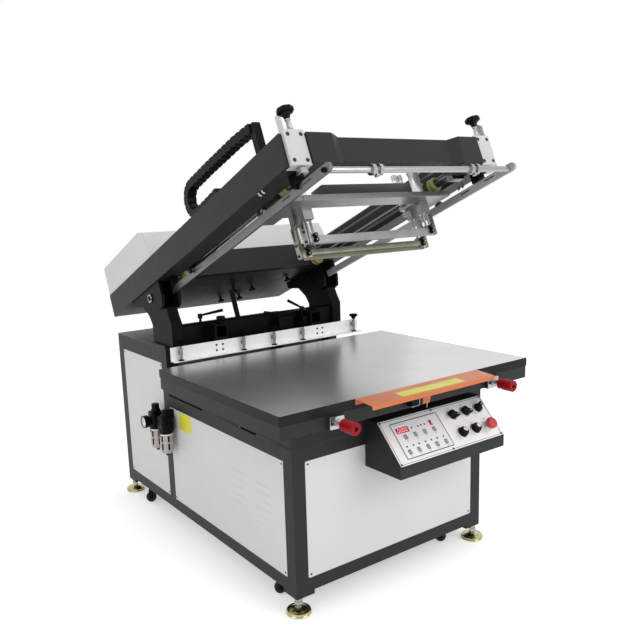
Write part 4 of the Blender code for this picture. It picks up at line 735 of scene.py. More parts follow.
makePiece("lift_tubes", cylinderTubes(-1) + cylinderTubes(1), brightAlloy, "print_carriage",
          headFrame)
makePiece("lift_caps", cylinderCaps(-1) + cylinderCaps(1), polished, "print_carriage", headFrame)
# The lip strip, made near white as painted highlight.
lip = dict(half=0.3345, front=-1.0618, rear=-1.033, low=0.022, high=0.0235)
makePiece("carriage_lip_highlight", slabShape(lip, 0.0004), lipHighlight, "print_carriage", headFrame)

hanger = dict(face=0.317, slotHalf=0.0036, slotHigh=-0.058, sink=0.0005, proud=0.0004,
              screwR=0.0048, screwRise=0.004)
bladeKnobs = dict(x=0.284, ahead=0.01, radius=0.0086, reach=0.015, upper=0.001, lower=-0.016)
blades = dict(flood=dict(y=-0.99, slotLow=-0.074, screwZs=(-0.085, -0.121), knobLow=-0.135,
                         knobHigh=0.03),
              squeegee=dict(y=-0.927, slotLow=-0.096, screwZs=(-0.113, -0.152), knobLow=-0.167,
                            knobHigh=0.034))


def hangerSlotShades(blade):
    # A sunk dark strip down the outside of each hanger plate, between its clamp screws and foot:
    # painted shade in the plate's slot.
    h = hanger
    return [boxShape((sign * (h["face"] - h["sink"]), blade["y"] - h["slotHalf"], blade["slotLow"]),
                     (sign * (h["face"] + h["proud"]), blade["y"] + h["slotHalf"], h["slotHigh"]),
                     0.0002)
            for sign in (-1, 1)]


def hangerScrews(blade):
    # Cap screws on the outside of each hanger plate.
    h = hanger
    return [socketScrew((sign * h["face"], blade["y"], z), (sign, 0, 0), h["screwR"],
                        h["screwRise"])
            for sign in (-1, 1) for z in blade["screwZs"]]


def bladeKnobShapes(blade):
    # Black clamp knobs, two on each end of a blade, ribbed round the rim.
    k = bladeKnobs
    r, l = k["radius"], k["reach"]
    profile = [(0, 0), (r * 0.8, 0), (r, 0.003), (r, l * 0.85), (r * 0.85, l), (r * 0.4, l),
               (r * 0.35, l - 0.002), (0, l - 0.002)]
    return [turnedShape(profile, (sign * k["x"], blade["y"] - k["ahead"], blade["knobLow"] + rise),
                        forward, 36, lobes=9, depth=0.06)
            for sign in (-1, 1)
            for rise in (blade["knobHigh"] + k["upper"], blade["knobHigh"] + k["lower"])]


for name, shapes, paint in (("hanger_slots_%s", hangerSlotShades, darkSteelAndShade),
                            ("hanger_screws_%s", hangerScrews, darkSteelAndShade),
                            ("%s_knobs", bladeKnobShapes, mouldedBlack)):
    for key, blade in blades.items():
        makePiece(name % key, shapes(blade), paint, key + "_lift", headFrame)

rubber = dict(half=0.2956, front=-0.9313, rear=-0.9227, low=-0.1672, high=-0.1565)
squeegeeRubber = finish("squeegee urethane", (0.17, 0.168, 0.1), 0.36, tone=0.1, toneScale=12.0,
                        edge=0.0008, coat=0.2)
makePiece("squeegee_rubber", slabShape(rubber, 0.0006), squeegeeRubber, "squeegee_lift", headFrame)

belt = dict(x=0.33, front=-1.105, rear=-0.15, mid=0.1165, radius=0.0135, width=0.015, thick=0.0014,
            tooth=0.0012, pitch=0.008)


def beltShape():
    # A closed belt: a slim oval path of two straights and two half circles, with a flat strip
    # carried along it whose inner face steps in and out once a tooth.
    b = belt
    r = b["radius"]
    straight, bend = b["rear"] - b["front"] - 2 * r, np.pi * r
    loop = 2 * straight + 2 * np.pi * r
    teeth = int(loop / b["pitch"])
    share = (np.arange(teeth)[:, None] + np.array([0.0, 0.08, 0.46, 0.54])[None]).ravel() / teeth
    run = share * loop
    rearTurn, frontTurn = (run - straight) / r, (run - 2 * straight - bend) / r
    parts = [run < straight, run < straight + bend, run < 2 * straight + bend]
    outY = np.select(parts, [0 * run, np.sin(rearTurn), 0 * run], -np.sin(frontTurn))
    outZ = np.select(parts, [0 * run + 1, np.cos(rearTurn), 0 * run - 1], -np.cos(frontTurn))
    along = np.select(parts, [b["front"] + r + run, b["rear"] - r + r * outY,
                              b["rear"] - r - (run - straight - bend)], b["front"] + r + r * outY)
    outer = 0 * run + b["thick"] / 2
    inner = -b["thick"] / 2 - np.tile([b["tooth"], 0.0, 0.0, b["tooth"]], teeth)
    ring = [np.stack([0 * run + b["x"] + x * b["width"], along + outY * offset,
                      b["mid"] + outZ * r + outZ * offset], axis=-1)
            for offset, x in ((outer, -0.5), (outer, 0.5), (inner, 0.5), (inner, -0.5))]
    return gridShape(np.stack(ring, axis=1), around=True, along=True)


beltGrey = finish("belt rubber", (0.22, 0.22, 0.215), 0.55, tone=0.12, grain=0.06, edge=0.0004)
headPiece("drive_belt", beltShape(), beltGrey, smooth=30.0)
pulley = [(0, -0.0095), (0.015, -0.0095), (0.015, -0.0082), (0.0113, -0.008), (0.0113, 0.008),
          (0.015, 0.0082), (0.015, 0.0095), (0.006, 0.0095), (0.006, 0.016), (0, 0.016)]
# each plate: across from and to, back from and to, and its lower edge
pulleyPlates = ((0.344, 0.348, belt["front"] - 0.004, belt["front"] + 0.034, 0.1),
                (0.344, 0.348, belt["rear"] - 0.034, belt["rear"] + 0.024, 0.09),
                (0.344, 0.402, belt["front"] - 0.03, belt["front"] - 0.004, 0.1))
platesHigh = 0.134
headPiece("belt_pulleys",
          [turnedShape(pulley, (belt["x"], y, belt["mid"]), (1, 0, 0), 30)
           for y in (belt["front"] + belt["radius"], belt["rear"] - belt["radius"])]
          + [boxShape((x0, y0, low), (x1, y1, platesHigh)) for x0, x1, y0, y1, low in pulleyPlates],
          milled)
print("stage: carriage fittings")


# Underside sheet and its star knobs
underSheet = finish("underside sheet steel", (0.022, 0.023, 0.026), 0.5, metal=0.7, tone=0.1,
                    grain=0.0, roughVary=0.04, edge=0.0006)
under = dict(half=0.337, front=-0.104, rear=0.448, low=0.045, high=0.0467,
             knobR=0.0145, knobRise=0.024,
             knobs=((0.035, 0.159), (0.038, 0.319), (0.141, 0.157), (0.149, 0.315), (0.296, 0.051)))
headPiece("under_sheet", slabShape(under, 0.0004), underSheet)


def starKnob(centre, axis, radius, rise):
    # A star knob: a slim neck, then a head of five lobes with eased rims and a low crown.
    profile = [(0, 0), (radius * 0.36, 0), (radius * 0.36, rise * 0.3),
               (radius * 0.55, rise * 0.42), (radius * 0.92, rise * 0.48), (radius, rise * 0.58),
               (radius, rise * 0.85), (radius * 0.88, rise * 0.95), (radius * 0.4, rise),
               (0, rise)]
    return turnedShape(profile, centre, axis, steps=60, lobes=5, depth=0.16)


headPiece("under_knobs",
          [starKnob((x, y, under["low"]), (0, 0, -1), under["knobR"], under["knobRise"])
           for x, y in under["knobs"]],
          mouldedBlack)
print("stage: underside")


# Register bar: its angle, plunger knobs, sleeves and screws
plungerBlack = finish("matt black moulding", (0.004, 0.004, 0.004), 0.62, tone=0.1, edge=0.0006,
                      shine=0.01)
stemSteel = finish("oiled stem steel", (0.24, 0.24, 0.24), 0.24, metal=1.0, tone=0.05, grain=0.0,
                   roughVary=0.02, edge=0.0006)
register = dict(y=0.9425, low=0.8035, face=0.961, xs=(-0.478, -0.165, 0.0, 0.165, 0.478),
                screwXs=(0.263, 0.295), screwZs=(0.018, 0.042), screwR=0.0048, screwRise=0.0016,
                lugHalf=0.005, lugZs=(0.03, 0.046))
angleIron = dict(face=0.961, height=0.06, thick=0.004, depth=0.037, half=0.517, foot=0.003)
plungerKnob = [(0, 0.0655), (0.0075, 0.0655), (0.0086, 0.069), (0.0125, 0.0782), (0.0186, 0.0796),
               (0.0198, 0.0812), (0.0198, 0.0884), (0.0184, 0.0903), (0, 0.0903)]
plungerFoot = [(0, 0.0028), (0.013, 0.0028), (0.013, 0.0056), (0.011, 0.0068), (0, 0.0068)]
plungerSleeve = [(0, 0.006), (0.006, 0.006), (0.006, 0.026), (0.008, 0.027), (0.008, 0.056),
                 (0.006, 0.058), (0.006, 0.066), (0, 0.066)]


def angleBar():
    # The bar's section: an upright leaf with a thinner one that lies forward on the table.
    a, low = angleIron, register["low"]
    back, face, front = a["face"] + a["thick"], a["face"], a["face"] - a["depth"]
    top, foot = low + a["height"], low + a["foot"]
    section = [(back, low), (back, top), (face, top), (face, foot), (front, foot), (front, low)]
    return plateShape(section[::-1], -a["half"], a["half"], 0.0005, alongArm)


def plungerKnobs():
    # Each plunger's black knob, a thin disc over a cone, and its foot.
    spots = [(x, register["y"], register["low"]) for x in register["xs"]]
    return [shape for at in spots
            for shape in (turnedShape(plungerKnob, at, steps=48, lobes=8, depth=0.05),
                          turnedShape(plungerFoot, at, steps=30))]


def plungerSleeves():
    # The stepped sleeve between knob and foot, and the lug that holds it to the bar.
    r = register
    lugLow, lugHigh = r["lugZs"]
    return ([turnedShape(plungerSleeve, (x, r["y"], r["low"]), steps=30) for x in r["xs"]]
            + [boxShape((x - r["lugHalf"], r["y"], r["low"] + lugLow),
                        (x + r["lugHalf"], r["face"] + 0.0005, r["low"] + lugHigh), 0.0008)
               for x in r["xs"]])


basePiece("register_angle", angleBar(), blockWhite, stands="register_bar")
basePiece("plunger_knobs", plungerKnobs(), plungerBlack)
basePiece("plunger_sleeves", plungerSleeves(), stemSteel)
basePiece("register_screws",
          [socketScrew((sign * x, register["face"] + 0.0002, register["low"] + z), forward,
                       register["screwR"], register["screwRise"], 20)
           for sign in (-1, 1) for x in register["screwXs"] for z in register["screwZs"]],
          darkSteelAndShade)
print("stage: register bar")


# Control panel: border, keypad, display, keys and switches
skin = 0.0026  # the panel's face, off the sloping frame
plate = dict(left=-0.148, right=0.396, low=0.003, high=0.1838, inX=0.0055, inV=0.0045, line=0.0015,
             frame=(-0.1047, 0.1345, 0.0205, 0.165), frameR=0.006, frameLine=0.0032, filmIn=0.001,
             screwR=0.0046, screwRise=0.002,
             screws=((-0.1415, 0.1775), (0.3895, 0.1775), (-0.1415, 0.0093), (0.3895, 0.0093),
                     (0.1175, 0.1775), (0.12, 0.0093)))
lineBlack = finish("printed line", (0.02, 0.02, 0.022), 0.45, grain=0.01, edge=0)
keySheet = finish("keypad film", (0.86, 0.865, 0.9), 0.38, tone=0.03, grain=0.012, grainScale=900.0,
                  edge=0)
displayRed = finish("display window", (0.32, 0.002, 0.016), 0.18, tone=0.04, grain=0.002, edge=0,
                    coat=0.4, glow=0.16)
digitGlow = finish("lit digits", (1.0, 0.42, 0.5), 0.3, tone=0.02, grain=0.0, edge=0, glow=1.1)
keyBrown = finish("brown key rim", (0.15, 0.08, 0.045), 0.4, tone=0.05, grain=0.01, edge=0)
keyOlive = finish("olive key rim", (0.18, 0.155, 0.025), 0.4, tone=0.05, grain=0.01, edge=0)
keyMoss = finish("green grey key rim", (0.1, 0.12, 0.085), 0.4, tone=0.05, grain=0.01, edge=0)
keyGrey = finish("grey key", (0.36, 0.36, 0.38), 0.4, tone=0.05, grain=0.01, edge=0.0004)
markGrey = finish("printed strip", (0.34, 0.35, 0.42), 0.45, tone=0.05, grain=0.01, edge=0)
knobCream = finish("knob bezel", (0.62, 0.62, 0.6), 0.26, metal=0.5, tone=0.04, grain=0.004,
                   edge=0.0004)


# the printed layers' lower and upper faces, from the panel's face
layers = dict(border=(-0.0001, 0.00012), film=(-0.0001, 0.0003), frame=(-0.0001, 0.00045),
              rim=(0.0002, 0.0007), cap=(0.0002, 0.0009), strip=(0.0001, 0.0005))


def layer(key):
    # The two heights of a printed layer on the panel.
    low, high = layers[key]
    return skin + low, skin + high


def bandShape(outline, width, low, high):
    # A flat band along a closed outline: a small rectangle carried round it, its inner corners
    # moved in along the outline's normal by the width.
    outline = np.asarray(outline, float)
    ahead = np.roll(outline, -1, axis=0) - np.roll(outline, 1, axis=0)
    ahead /= np.linalg.norm(ahead, axis=1, keepdims=True)
    inner = outline + np.stack([-ahead[:, 1], ahead[:, 0]], axis=1) * width
    points = np.stack([atHeight(outline, low), atHeight(outline, high), atHeight(inner, high),
                       atHeight(inner, low)], axis=1)
    return gridShape(points, around=True, along=True)


def outlineBetween(x0, x1, v0, v1, radius, steps=6):
    # A rounded rectangle between its four limits.
    return roundedOutline(x1 - x0, v1 - v0, radius, steps) + ((x0 + x1) / 2, (v0 + v1) / 2)


def domeScrew(centre, axis, radius, rise, steps=16):
    # A domed screw head: a quarter-ellipse profile turned round, with a sunk dish for the cross.
    t = np.linspace(0, np.pi / 2, 5)
    dome = [(radius * math.cos(a), rise * math.sin(a)) for a in t[:-1]]
    profile = [(0, 0)] + dome + [(radius * 0.3, rise * 0.97), (radius * 0.22, rise * 0.55),
                                 (0, rise * 0.45)]
    return turnedShape(profile, centre, axis, steps)


border = outlineBetween(plate["left"] + plate["inX"], plate["right"] - plate["inX"],
                        plate["low"] + plate["inV"], plate["high"] - plate["inV"], 0.001, 3)
x0, x1, v0, v1 = plate["frame"]
filmIn = plate["filmIn"]
film = outlineBetween(x0 + filmIn, x1 - filmIn, v0 + filmIn, v1 - filmIn, plate["frameR"] - filmIn)
facePiece("panel_border", bandShape(border, plate["line"], *layer("border")), lineBlack)
facePiece("keypad_film", plateShape(film, *layer("film"), 0.0001), keySheet)
facePiece("keypad_frame", bandShape(outlineBetween(x0, x1, v0, v1, plate["frameR"]),
                                    plate["frameLine"], *layer("frame")), lineBlack)
facePiece("panel_screws",
          [domeScrew((x, v, skin), (0, 0, 1), plate["screwR"], plate["screwRise"])
           for x, v in plate["screws"]],
          darkSteelAndShade)

display = dict(wide=(-0.0905, -0.0295, 0.1205, 0.1428), small=(0.0765, 0.0905, 0.12, 0.141),
               thick=0.0012, digitH=0.0132, digitW=0.0074, stroke=0.002, lean=0.1,
               gap=0.0006, corner=0.0004, rise=0.0003,
               first=(-0.0784, 0.1317), pitch=0.0124, last=(0.0836, 0.1305))


def digitShapes(x, v, segments):
    # A seven-bar numeral: each bar is a small plate on the numeral's leaning rectangle.
    d = display
    w, h, s = d["digitW"], d["digitH"], d["stroke"]
    bars = dict(a=(0, h / 2, w, s), g=(0, 0, w, s), d=(0, -h / 2, w, s),
                f=(-w / 2, h / 4, s, h / 2), b=(w / 2, h / 4, s, h / 2),
                e=(-w / 2, -h / 4, s, h / 2), c=(w / 2, -h / 4, s, h / 2))
    made = []
    for key in segments:
        dx, dv, wide, tall = bars[key]
        outline = roundedOutline(wide - d["gap"], tall - d["gap"], d["corner"], 2)
        made.append(plateShape(outline + (x + dx + d["lean"] * dv, v + dv), skin + d["thick"],
                               skin + d["thick"] + d["rise"], 0.0001))
    return made


for size in ("wide", "small"):
    window = outlineBetween(*display[size], 0.0008, 3)
    facePiece("display_" + size, plateShape(window, skin, skin + display["thick"], 0.0003),
              displayRed)
firstX, firstV = display["first"]
facePiece("display_digits",
          [shape for k in range(4)
           for shape in digitShapes(firstX + display["pitch"] * k, firstV, "abcdef")]
          + digitShapes(*display["last"], "bc"),
          digitGlow)

keys = dict(size=0.0192, radius=0.0022, rim=0.003, slim=0.82, capWide=0.27, capTall=0.36,
            brown=((-0.0608, 0.1036), (0.0839, 0.103), (-0.0774, 0.0455), (0.014, 0.045),
                   (0.0595, 0.0445)),
            olive=((-0.0122, 0.1036), (0.0366, 0.1036), (-0.0322, 0.0452)),
            moss=((0.1064, 0.044),))
keyGroups = ("brown", "olive", "moss")
keySpots = [spot for group in keyGroups for spot in keys[group]]


def keyRim(x, v):
    # A key's printed rim, a little slimmer than tall.
    half = keys["size"] / 2
    slim = half * keys["slim"]
    return bandShape(outlineBetween(x - slim, x + slim, v - half, v + half, keys["radius"], 3),
                     keys["rim"], *layer("rim"))


def keyCap(x, v):
    # The raised grey cap inside the rim.
    wide, tall = keys["size"] * keys["capWide"], keys["size"] * keys["capTall"]
    return plateShape(outlineBetween(x - wide, x + wide, v - tall, v + tall, 0.0008, 3),
                      *layer("cap"), 0.0003)


for group, paint in zip(keyGroups, (keyBrown, keyOlive, keyMoss)):
    facePiece("key_rims_" + group, [keyRim(x, v) for x, v in keys[group]], paint)
facePiece("key_caps", [keyCap(x, v) for x, v in keySpots], keyGrey)
lampDots = dict(radius=0.004, rise=0.0014,
                spots=((-0.0125, 0.1319), (0.0182, 0.1309), (0.0347, 0.1314), (0.0521, 0.1313),
                       (-0.0783, 0.0675), (-0.0479, 0.0665), (-0.0191, 0.067), (0.0128, 0.0664),
                       (0.0437, 0.0667), (0.0742, 0.0663), (0.1058, 0.0657)))
facePiece("lamp_dots",
          [domeScrew((x, v, skin + 0.0002), (0, 0, 1), lampDots["radius"], lampDots["rise"], 14)
           for x, v in lampDots["spots"]],
          lineBlack)

switches = dict(first=0.203, step=0.072, highRow=0.134, lowRow=0.057, stopX=0.347, stopV=0.053,
                skirt=0.0178, turns=(-116.0, -118.0, -50.0), dialTurns=(-48.0, -54.0))
captions = dict(below=0.0135, gap=0.004, width=0.012, shorter=0.003, half=0.0008,
                rows=(0.1655, 0.087), rowWidth=0.016, top=(-0.062, 0.1545, 0.056))


def captionStrips():
    # Bare printed strips: two below each key, one above each knob, and a long one at the top.
    c = captions
    spots = [(x, v - c["below"] - c["gap"] * k, c["width"] - c["shorter"] * k)
             for x, v in keySpots for k in range(2)]
    spots += [(switches["first"] + switches["step"] * k, v, c["rowWidth"])
              for v in c["rows"] for k in range(3)]
    spots.append(c["top"])
    outlines = [outlineBetween(x - w / 2, x + w / 2, v - c["half"], v + c["half"], 0.0003, 2)
                for x, v, w in spots]
    return [plateShape(outline, *layer("strip"), 0.0001) for outline in outlines]


facePiece("panel_strips", captionStrips(), markGrey)
print("stage: keypad")


def turnedPlace(x, v, degrees):
    # A place on the panel's face, turned about its own upright axis.
    return Matrix.Translation((x, v, skin)) @ Matrix.Rotation(math.radians(degrees), 4, "Z")


# the fin's reach ahead and behind, its half width and how much wider its tail is, its lower
# and upper faces, its eased edge, and the powers that square its outline across and along
fin = dict(ahead=0.025, behind=0.0205, slim=0.0078, wider=0.005, low=0.006, high=0.023,
           edge=0.0018, across=0.6, along=0.8)


def pointerKnob(x, v, degrees):
    # A pointer knob: a low round skirt, and over it a fin whose outline is a rounded bar that
    # widens towards its tail, turned by an angle about the knob's own axis.
    r, f = switches["skirt"], fin
    skirt = [(0, 0.0002), (r, 0.0002), (r, 0.0045), (r - 0.0016, 0.008), (r - 0.005, 0.0092),
             (0, 0.0092)]
    t = np.linspace(0, 2 * np.pi, 40, endpoint=False)
    length = np.where(np.sin(t) > 0, f["ahead"], f["behind"])
    half = f["slim"] + f["wider"] * (np.sin(t) < 0)
    outline = np.stack([half * np.sign(np.cos(t)) * np.abs(np.cos(t)) ** f["across"],
                        length * np.sign(np.sin(t)) * np.abs(np.sin(t)) ** f["along"]], axis=1)
    return [turnedShape(skirt, (x, v, skin), steps=36),
            plateShape(outline, f["low"], f["high"], f["edge"], turnedPlace(x, v, degrees))]


pointerMark = roundedOutline(0.0018, 0.011, 0.0006, 2) + (0.0, 0.0135)
for index, degrees in enumerate(switches["turns"]):
    x, v = switches["first"] + index * switches["step"], switches["highRow"]
    selector = "selector_%d" % (index + 1)
    makePiece("pointer_knob_%d" % (index + 1), pointerKnob(x, v, degrees), mouldedBlack,
              selector + "_body", panelFrame, stands=selector)
    makePiece("pointer_mark_%d" % (index + 1),
              plateShape(pointerMark, 0.0228, 0.0234, 0.0002, turnedPlace(x, v, degrees)),
              blockWhite, selector + "_body", panelFrame)
bezel = [(0.0182, 0.0), (0.0232, 0.0), (0.0232, 0.0016), (0.0214, 0.0034), (0.0182, 0.0034)]
facePiece("switch_bezels",
          [ringShape(bezel, (switches["first"] + k * switches["step"], v, skin), (0, 0, 1), 40)
           for v, count in ((switches["highRow"], 3), (switches["lowRow"], 2))
           for k in range(count)],
          knobCream)

dialSkirt = [(0, 0.0002), (0.0204, 0.0002), (0.0204, 0.004), (0.0188, 0.0056), (0, 0.0056)]
dialGrip = [(0, 0.005), (0.0184, 0.005), (0.0174, 0.019), (0.016, 0.0212), (0.012, 0.0212),
            (0, 0.0212)]
dialWedge = np.array([(-0.008, 0.0005), (0.008, 0.0005), (0.0098, 0.0105), (0.0, 0.0156),
                      (-0.0098, 0.0105)])
for index, degrees in enumerate(switches["dialTurns"]):
    x, v = switches["first"] + index * switches["step"], switches["lowRow"]
    dial = "dial_%d" % (index + 1)
    makePiece("dial_knob_%d" % (index + 1),
              [turnedShape(dialSkirt, (x, v, skin), steps=40),
               turnedShape(dialGrip, (x, v, skin), steps=80, lobes=20, depth=0.035)],
              mouldedBlack, dial + "_body", panelFrame, stands=dial)
    makePiece("dial_cap_%d" % (index + 1),
              plateShape(dialWedge, 0.0206, 0.0224, 0.0007, turnedPlace(x, v, degrees)),
              knobCream, dial + "_body", panelFrame)

stopAt = (switches["stopX"], switches["stopV"], skin)
stopCap = [(0, 0.0062), (0.0098, 0.0062), (0.0098, 0.018), (0.0195, 0.0184), (0.0224, 0.0196),
           (0.0232, 0.022), (0.023, 0.0268), (0.0218, 0.031), (0.0194, 0.0334), (0.015, 0.0346),
           (0.0095, 0.0347), (0.005, 0.0339), (0, 0.0336)]
stopRing = [(0.0166, 0.0), (0.0205, 0.0), (0.0202, 0.005), (0.018, 0.0086), (0.0166, 0.0086)]
makePiece("stop_cap", turnedShape(stopCap, stopAt, steps=56), buttonRed, "stop_button_body",
          panelFrame, stands="stop_button")
facePiece("stop_ring", ringShape(stopRing, stopAt, (0, 0, 1), 48), knobCream)
print("stage: switches")


# Table: flange plates, knob fittings, a dark band of painted shade in the seam under the top, and
# the switch under the guard
flange = dict(x=0.39, z=0.7395, half=0.0305, low=0.7175, high=0.76, bore=0.0146, corner=0.006,
              near=0.0101, far=0.0131, boltX=0.0225, boltY=-0.013, boltR=0.005, boltRise=0.0042)
faceForward = Matrix.Rotation(math.pi / 2, 4, "X")  # (u, v, w) becomes across, up, to the front


def holedPlate(outline, centre, radius, low, high, edge=0.0008):
    # A plate with a round hole: between the outline and a circle facing it point by point, a
    # closed section goes up the outside, over an eased rim and down the bore.
    outline, centre = np.asarray(outline, float), np.asarray(centre, float)
    ray = outline - centre
    ray /= np.linalg.norm(ray, axis=1, keepdims=True)
    circle = centre + ray * radius
    points = np.stack([atHeight(outline, low), atHeight(outline, high - edge),
                       atHeight(outline - ray * edge, high), atHeight(circle, high),
                       atHeight(circle, low)], axis=1)
    return moved(gridShape(points, around=True, along=True), faceForward)


def flangePlate(sign):
    # The bright plate behind a knob, with the bore for its spindle.
    f = flange
    middle, half = sign * f["x"], f["half"]
    outline = outlineBetween(middle - half, middle + half, f["low"], f["high"], f["corner"], 8)
    return holedPlate(outline, (middle, f["z"]), f["bore"], f["near"], f["far"])


basePiece("knob_flanges", [flangePlate(-1), flangePlate(1)], polished)
basePiece("flange_bolts",
          [socketScrew((sign * (flange["x"] + flange["boltX"] * side), flange["boltY"],
                        flange["z"] - 0.001), forward, flange["boltR"], flange["boltRise"], 20)
           for sign in (-1, 1) for side in (-1, 1)],
          darkSteelAndShade)
knobCollar = [(0, 0.0106), (0.0134, 0.0106), (0.0134, 0.019), (0.012, 0.0206), (0.0078, 0.0206),
              (0.0078, 0.0461), (0, 0.0461)]
knobBore = [(0, 0.1002), (0.0079, 0.1002), (0.0079, 0.103), (0.006, 0.103), (0.0056, 0.1012),
            (0, 0.1012)]
for side, sign in leftRight:
    at = (sign * flange["x"], 0.0, flange["z"])
    body = "adjust_knob_" + side + "_body"
    makePiece("knob_collar_" + side, turnedShape(knobCollar, at, forward), polished, body,
              floorFrame)
    makePiece("knob_bore_" + side, turnedShape(knobBore, at, forward, 24), darkSteelAndShade, body,
              floorFrame)

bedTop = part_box("table_bed")[1].z
topLow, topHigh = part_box("table_top")
# A dark band just inside the top plate's edges, over the bed: painted shade for the shadow in the
# gap between them.
seam = dict(inset=0.0016, below=0.0034, above=0.0004)
inset = seam["inset"]
makePiece("table_seam_shade",
          boxShape((topLow.x + inset, topLow.y + inset, bedTop - seam["below"]),
                   (topHigh.x - inset, topHigh.y - inset, bedTop + seam["above"]), 0.0003),
          castBlackAndShade, "machine_base")

# each box: across, up and back, from and to
micro = dict(case=(-0.068, -0.0425, 0.7365, 0.7635, -0.031, -0.0025),
             leaf=(-0.0345, -0.0312, 0.7325, 0.7625, -0.0345, -0.0302),
             foot=(-0.072, -0.0312, 0.732, 0.7345, -0.0345, -0.002),
             tab=((-0.015, 0.7695), (0.027, 0.7715), (0.025, 0.756), (0.016, 0.733),
                  (-0.0165, 0.7335)),
             hole=(0.012, 0.76), holeR=0.0022, tabNear=0.0306, tabFar=0.0336, rodR=0.0013,
             rod=((0.002, -0.035, 0.744), (0.002, -0.0352, 0.735), (0.002, -0.035, 0.723),
                  (0.002, -0.0345, 0.718)))


def microBox(key, edge):
    # One box of the small switch, from its six limits.
    x0, x1, z0, z1, y0, y1 = micro[key]
    return boxShape((x0, y0, z0), (x1, y1, z1), edge)


basePiece("switch_case", microBox("case", 0.0015), mouldedBlack)
basePiece("switch_bracket", [microBox("leaf", 0.0005), microBox("foot", 0.0005)], milled)
basePiece("switch_tab",
          holedPlate(micro["tab"][::-1], micro["hole"], micro["holeR"], micro["tabNear"],
                     micro["tabFar"], 0.0004),
          guardOrange)
basePiece("switch_rod", tubeShape(micro["rod"], micro["rodR"], 10), polished)
print("stage: table fittings")


# Base: louvres, panel screws, bare plates, strips and studs
louvre = dict(rows=6, top=0.436, pitch=0.0315, length=0.124, height=0.017, out=0.0034, sink=0.0004,
              steep=3.0, blunt=0.6, skew=1.35, columns=(0.33, 0.497))


def louvreShape(x, y, z, sign):
    # A pressed louvre: along its length a steep sine cut off at one, across its height a skewed
    # sine, so it swells out of the sheet and falls back sharply at its lower lip.
    l = louvre
    u = np.linspace(0, 1, 22)[:, None]
    v = np.linspace(0, 1, 9)[None]
    along = np.minimum(1.0, np.sin(np.pi * u) * l["steep"]) ** l["blunt"]
    swell = along * np.sin(np.pi * v ** l["skew"])
    return gridShape(np.stack([x + sign * (l["out"] * swell - l["sink"]),
                               y + (u - 0.5) * l["length"] + 0 * v,
                               z + (0.5 - v) * l["height"] + 0 * u], axis=-1))


for side, sign in leftRight:
    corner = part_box("side_panel_front_" + side)
    outerX = sign * max(abs(corner[0].x), abs(corner[1].x))
    basePiece("louvres_" + side,
              [louvreShape(outerX, y, louvre["top"] - k * louvre["pitch"], sign)
               for y in louvre["columns"] for k in range(louvre["rows"])],
              panelWhite, closed=False)

# a panel that stands across the machine faces the rear when it lies behind halfWay
sheetScrew = dict(inset=0.0125, radius=0.0042, rise=0.0017, halfWay=0.3)


def panelCorners(node):
    # Four screws on a panel's outer face, set in from its corners.
    s = sheetScrew
    low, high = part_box(node)
    flat = min(range(3), key=lambda k: (high - low)[k])
    first, second = [k for k in range(3) if k != flat]
    facesOut = (low[flat] + high[flat]) / 2 > (0.0 if flat == 0 else s["halfWay"])
    axis = np.zeros(3)
    axis[flat] = 1.0 if facesOut else -1.0
    made = []
    for a in (low[first] + s["inset"], high[first] - s["inset"]):
        for b in (low[second] + s["inset"], high[second] - s["inset"]):
            at = np.zeros(3)
            at[flat], at[first], at[second] = high[flat] if facesOut else low[flat], a, b
            made.append(domeScrew(at, axis, s["radius"], s["rise"], 18))
    return made


panelNodes = ["front_panel", "rear_panel"]
for where in ("front", "rear"):
    panelNodes += ["side_panel_%s_left" % where, "side_panel_%s_right" % where]
makePiece("sheet_screws", [shape for node in panelNodes for shape in panelCorners(node)], darkSteelAndShade,
          "machine_base")

bareYellow = finish("yellow plate enamel", (0.74, 0.69, 0.035), 0.4, tone=0.05, grain=0.012,
                    edge=0.0003)
sideways = Matrix.Rotation(-math.pi / 2, 4, "Z") @ faceForward  # u to the front, v up, w left
sidePlate = dict(x=0.481, sink=0.0003, proud=0.0006, span=(-0.998, -0.887, 0.489, 0.567))
basePiece("side_plate",
          plateShape(outlineBetween(*sidePlate["span"], 0.002, 3),
                     sidePlate["x"] - sidePlate["sink"], sidePlate["x"] + sidePlate["proud"],
                     0.0002, sideways),
          bareYellow)
guardPlate = dict(span=(-0.152, 0.156, -0.022, 0.022), y=-0.054, z=0.7968, sink=0.0003,
                  proud=0.0005, slope=math.atan2(0.007, 0.09))  # the guard rises 7 mm over 90 mm
onGuard = (Matrix.Translation((0, guardPlate["y"], guardPlate["z"]))
           @ Matrix.Rotation(guardPlate["slope"], 4, "X"))
basePiece("guard_plate",
          plateShape(outlineBetween(*guardPlate["span"], 0.0015, 3), -guardPlate["sink"],
                     guardPlate["proud"], 0.0002, onGuard),
          bareYellow)

strips = dict(inner=0.479, outer=0.4822, low=0.6206, high=0.63, runs=((0.13, 0.355), (0.486, 0.77)),
              crossHalf=0.48, cross=(0.1285, 0.132))
studs = dict(x=0.474, y=0.476, z=0.6255, radius=0.0038, rise=0.0095)
basePiece("side_strips",
          [boxShape((sign * strips["inner"], y0, strips["low"]),
                    (sign * strips["outer"], y1, strips["high"]), 0.0004)
           for sign in (-1, 1) for y0, y1 in strips["runs"]]
          + [boxShape((-strips["crossHalf"], strips["cross"][0], strips["low"]),
                      (strips["crossHalf"], strips["cross"][1], strips["high"]), 0.0004)],
          charcoal)
basePiece("side_studs",
          [domeScrew((sign * studs["x"], studs["y"], studs["z"]), (sign, 0, 0), studs["radius"],
                     studs["rise"]) for sign in (-1, 1)],
          polished)
print("stage: base fittings")


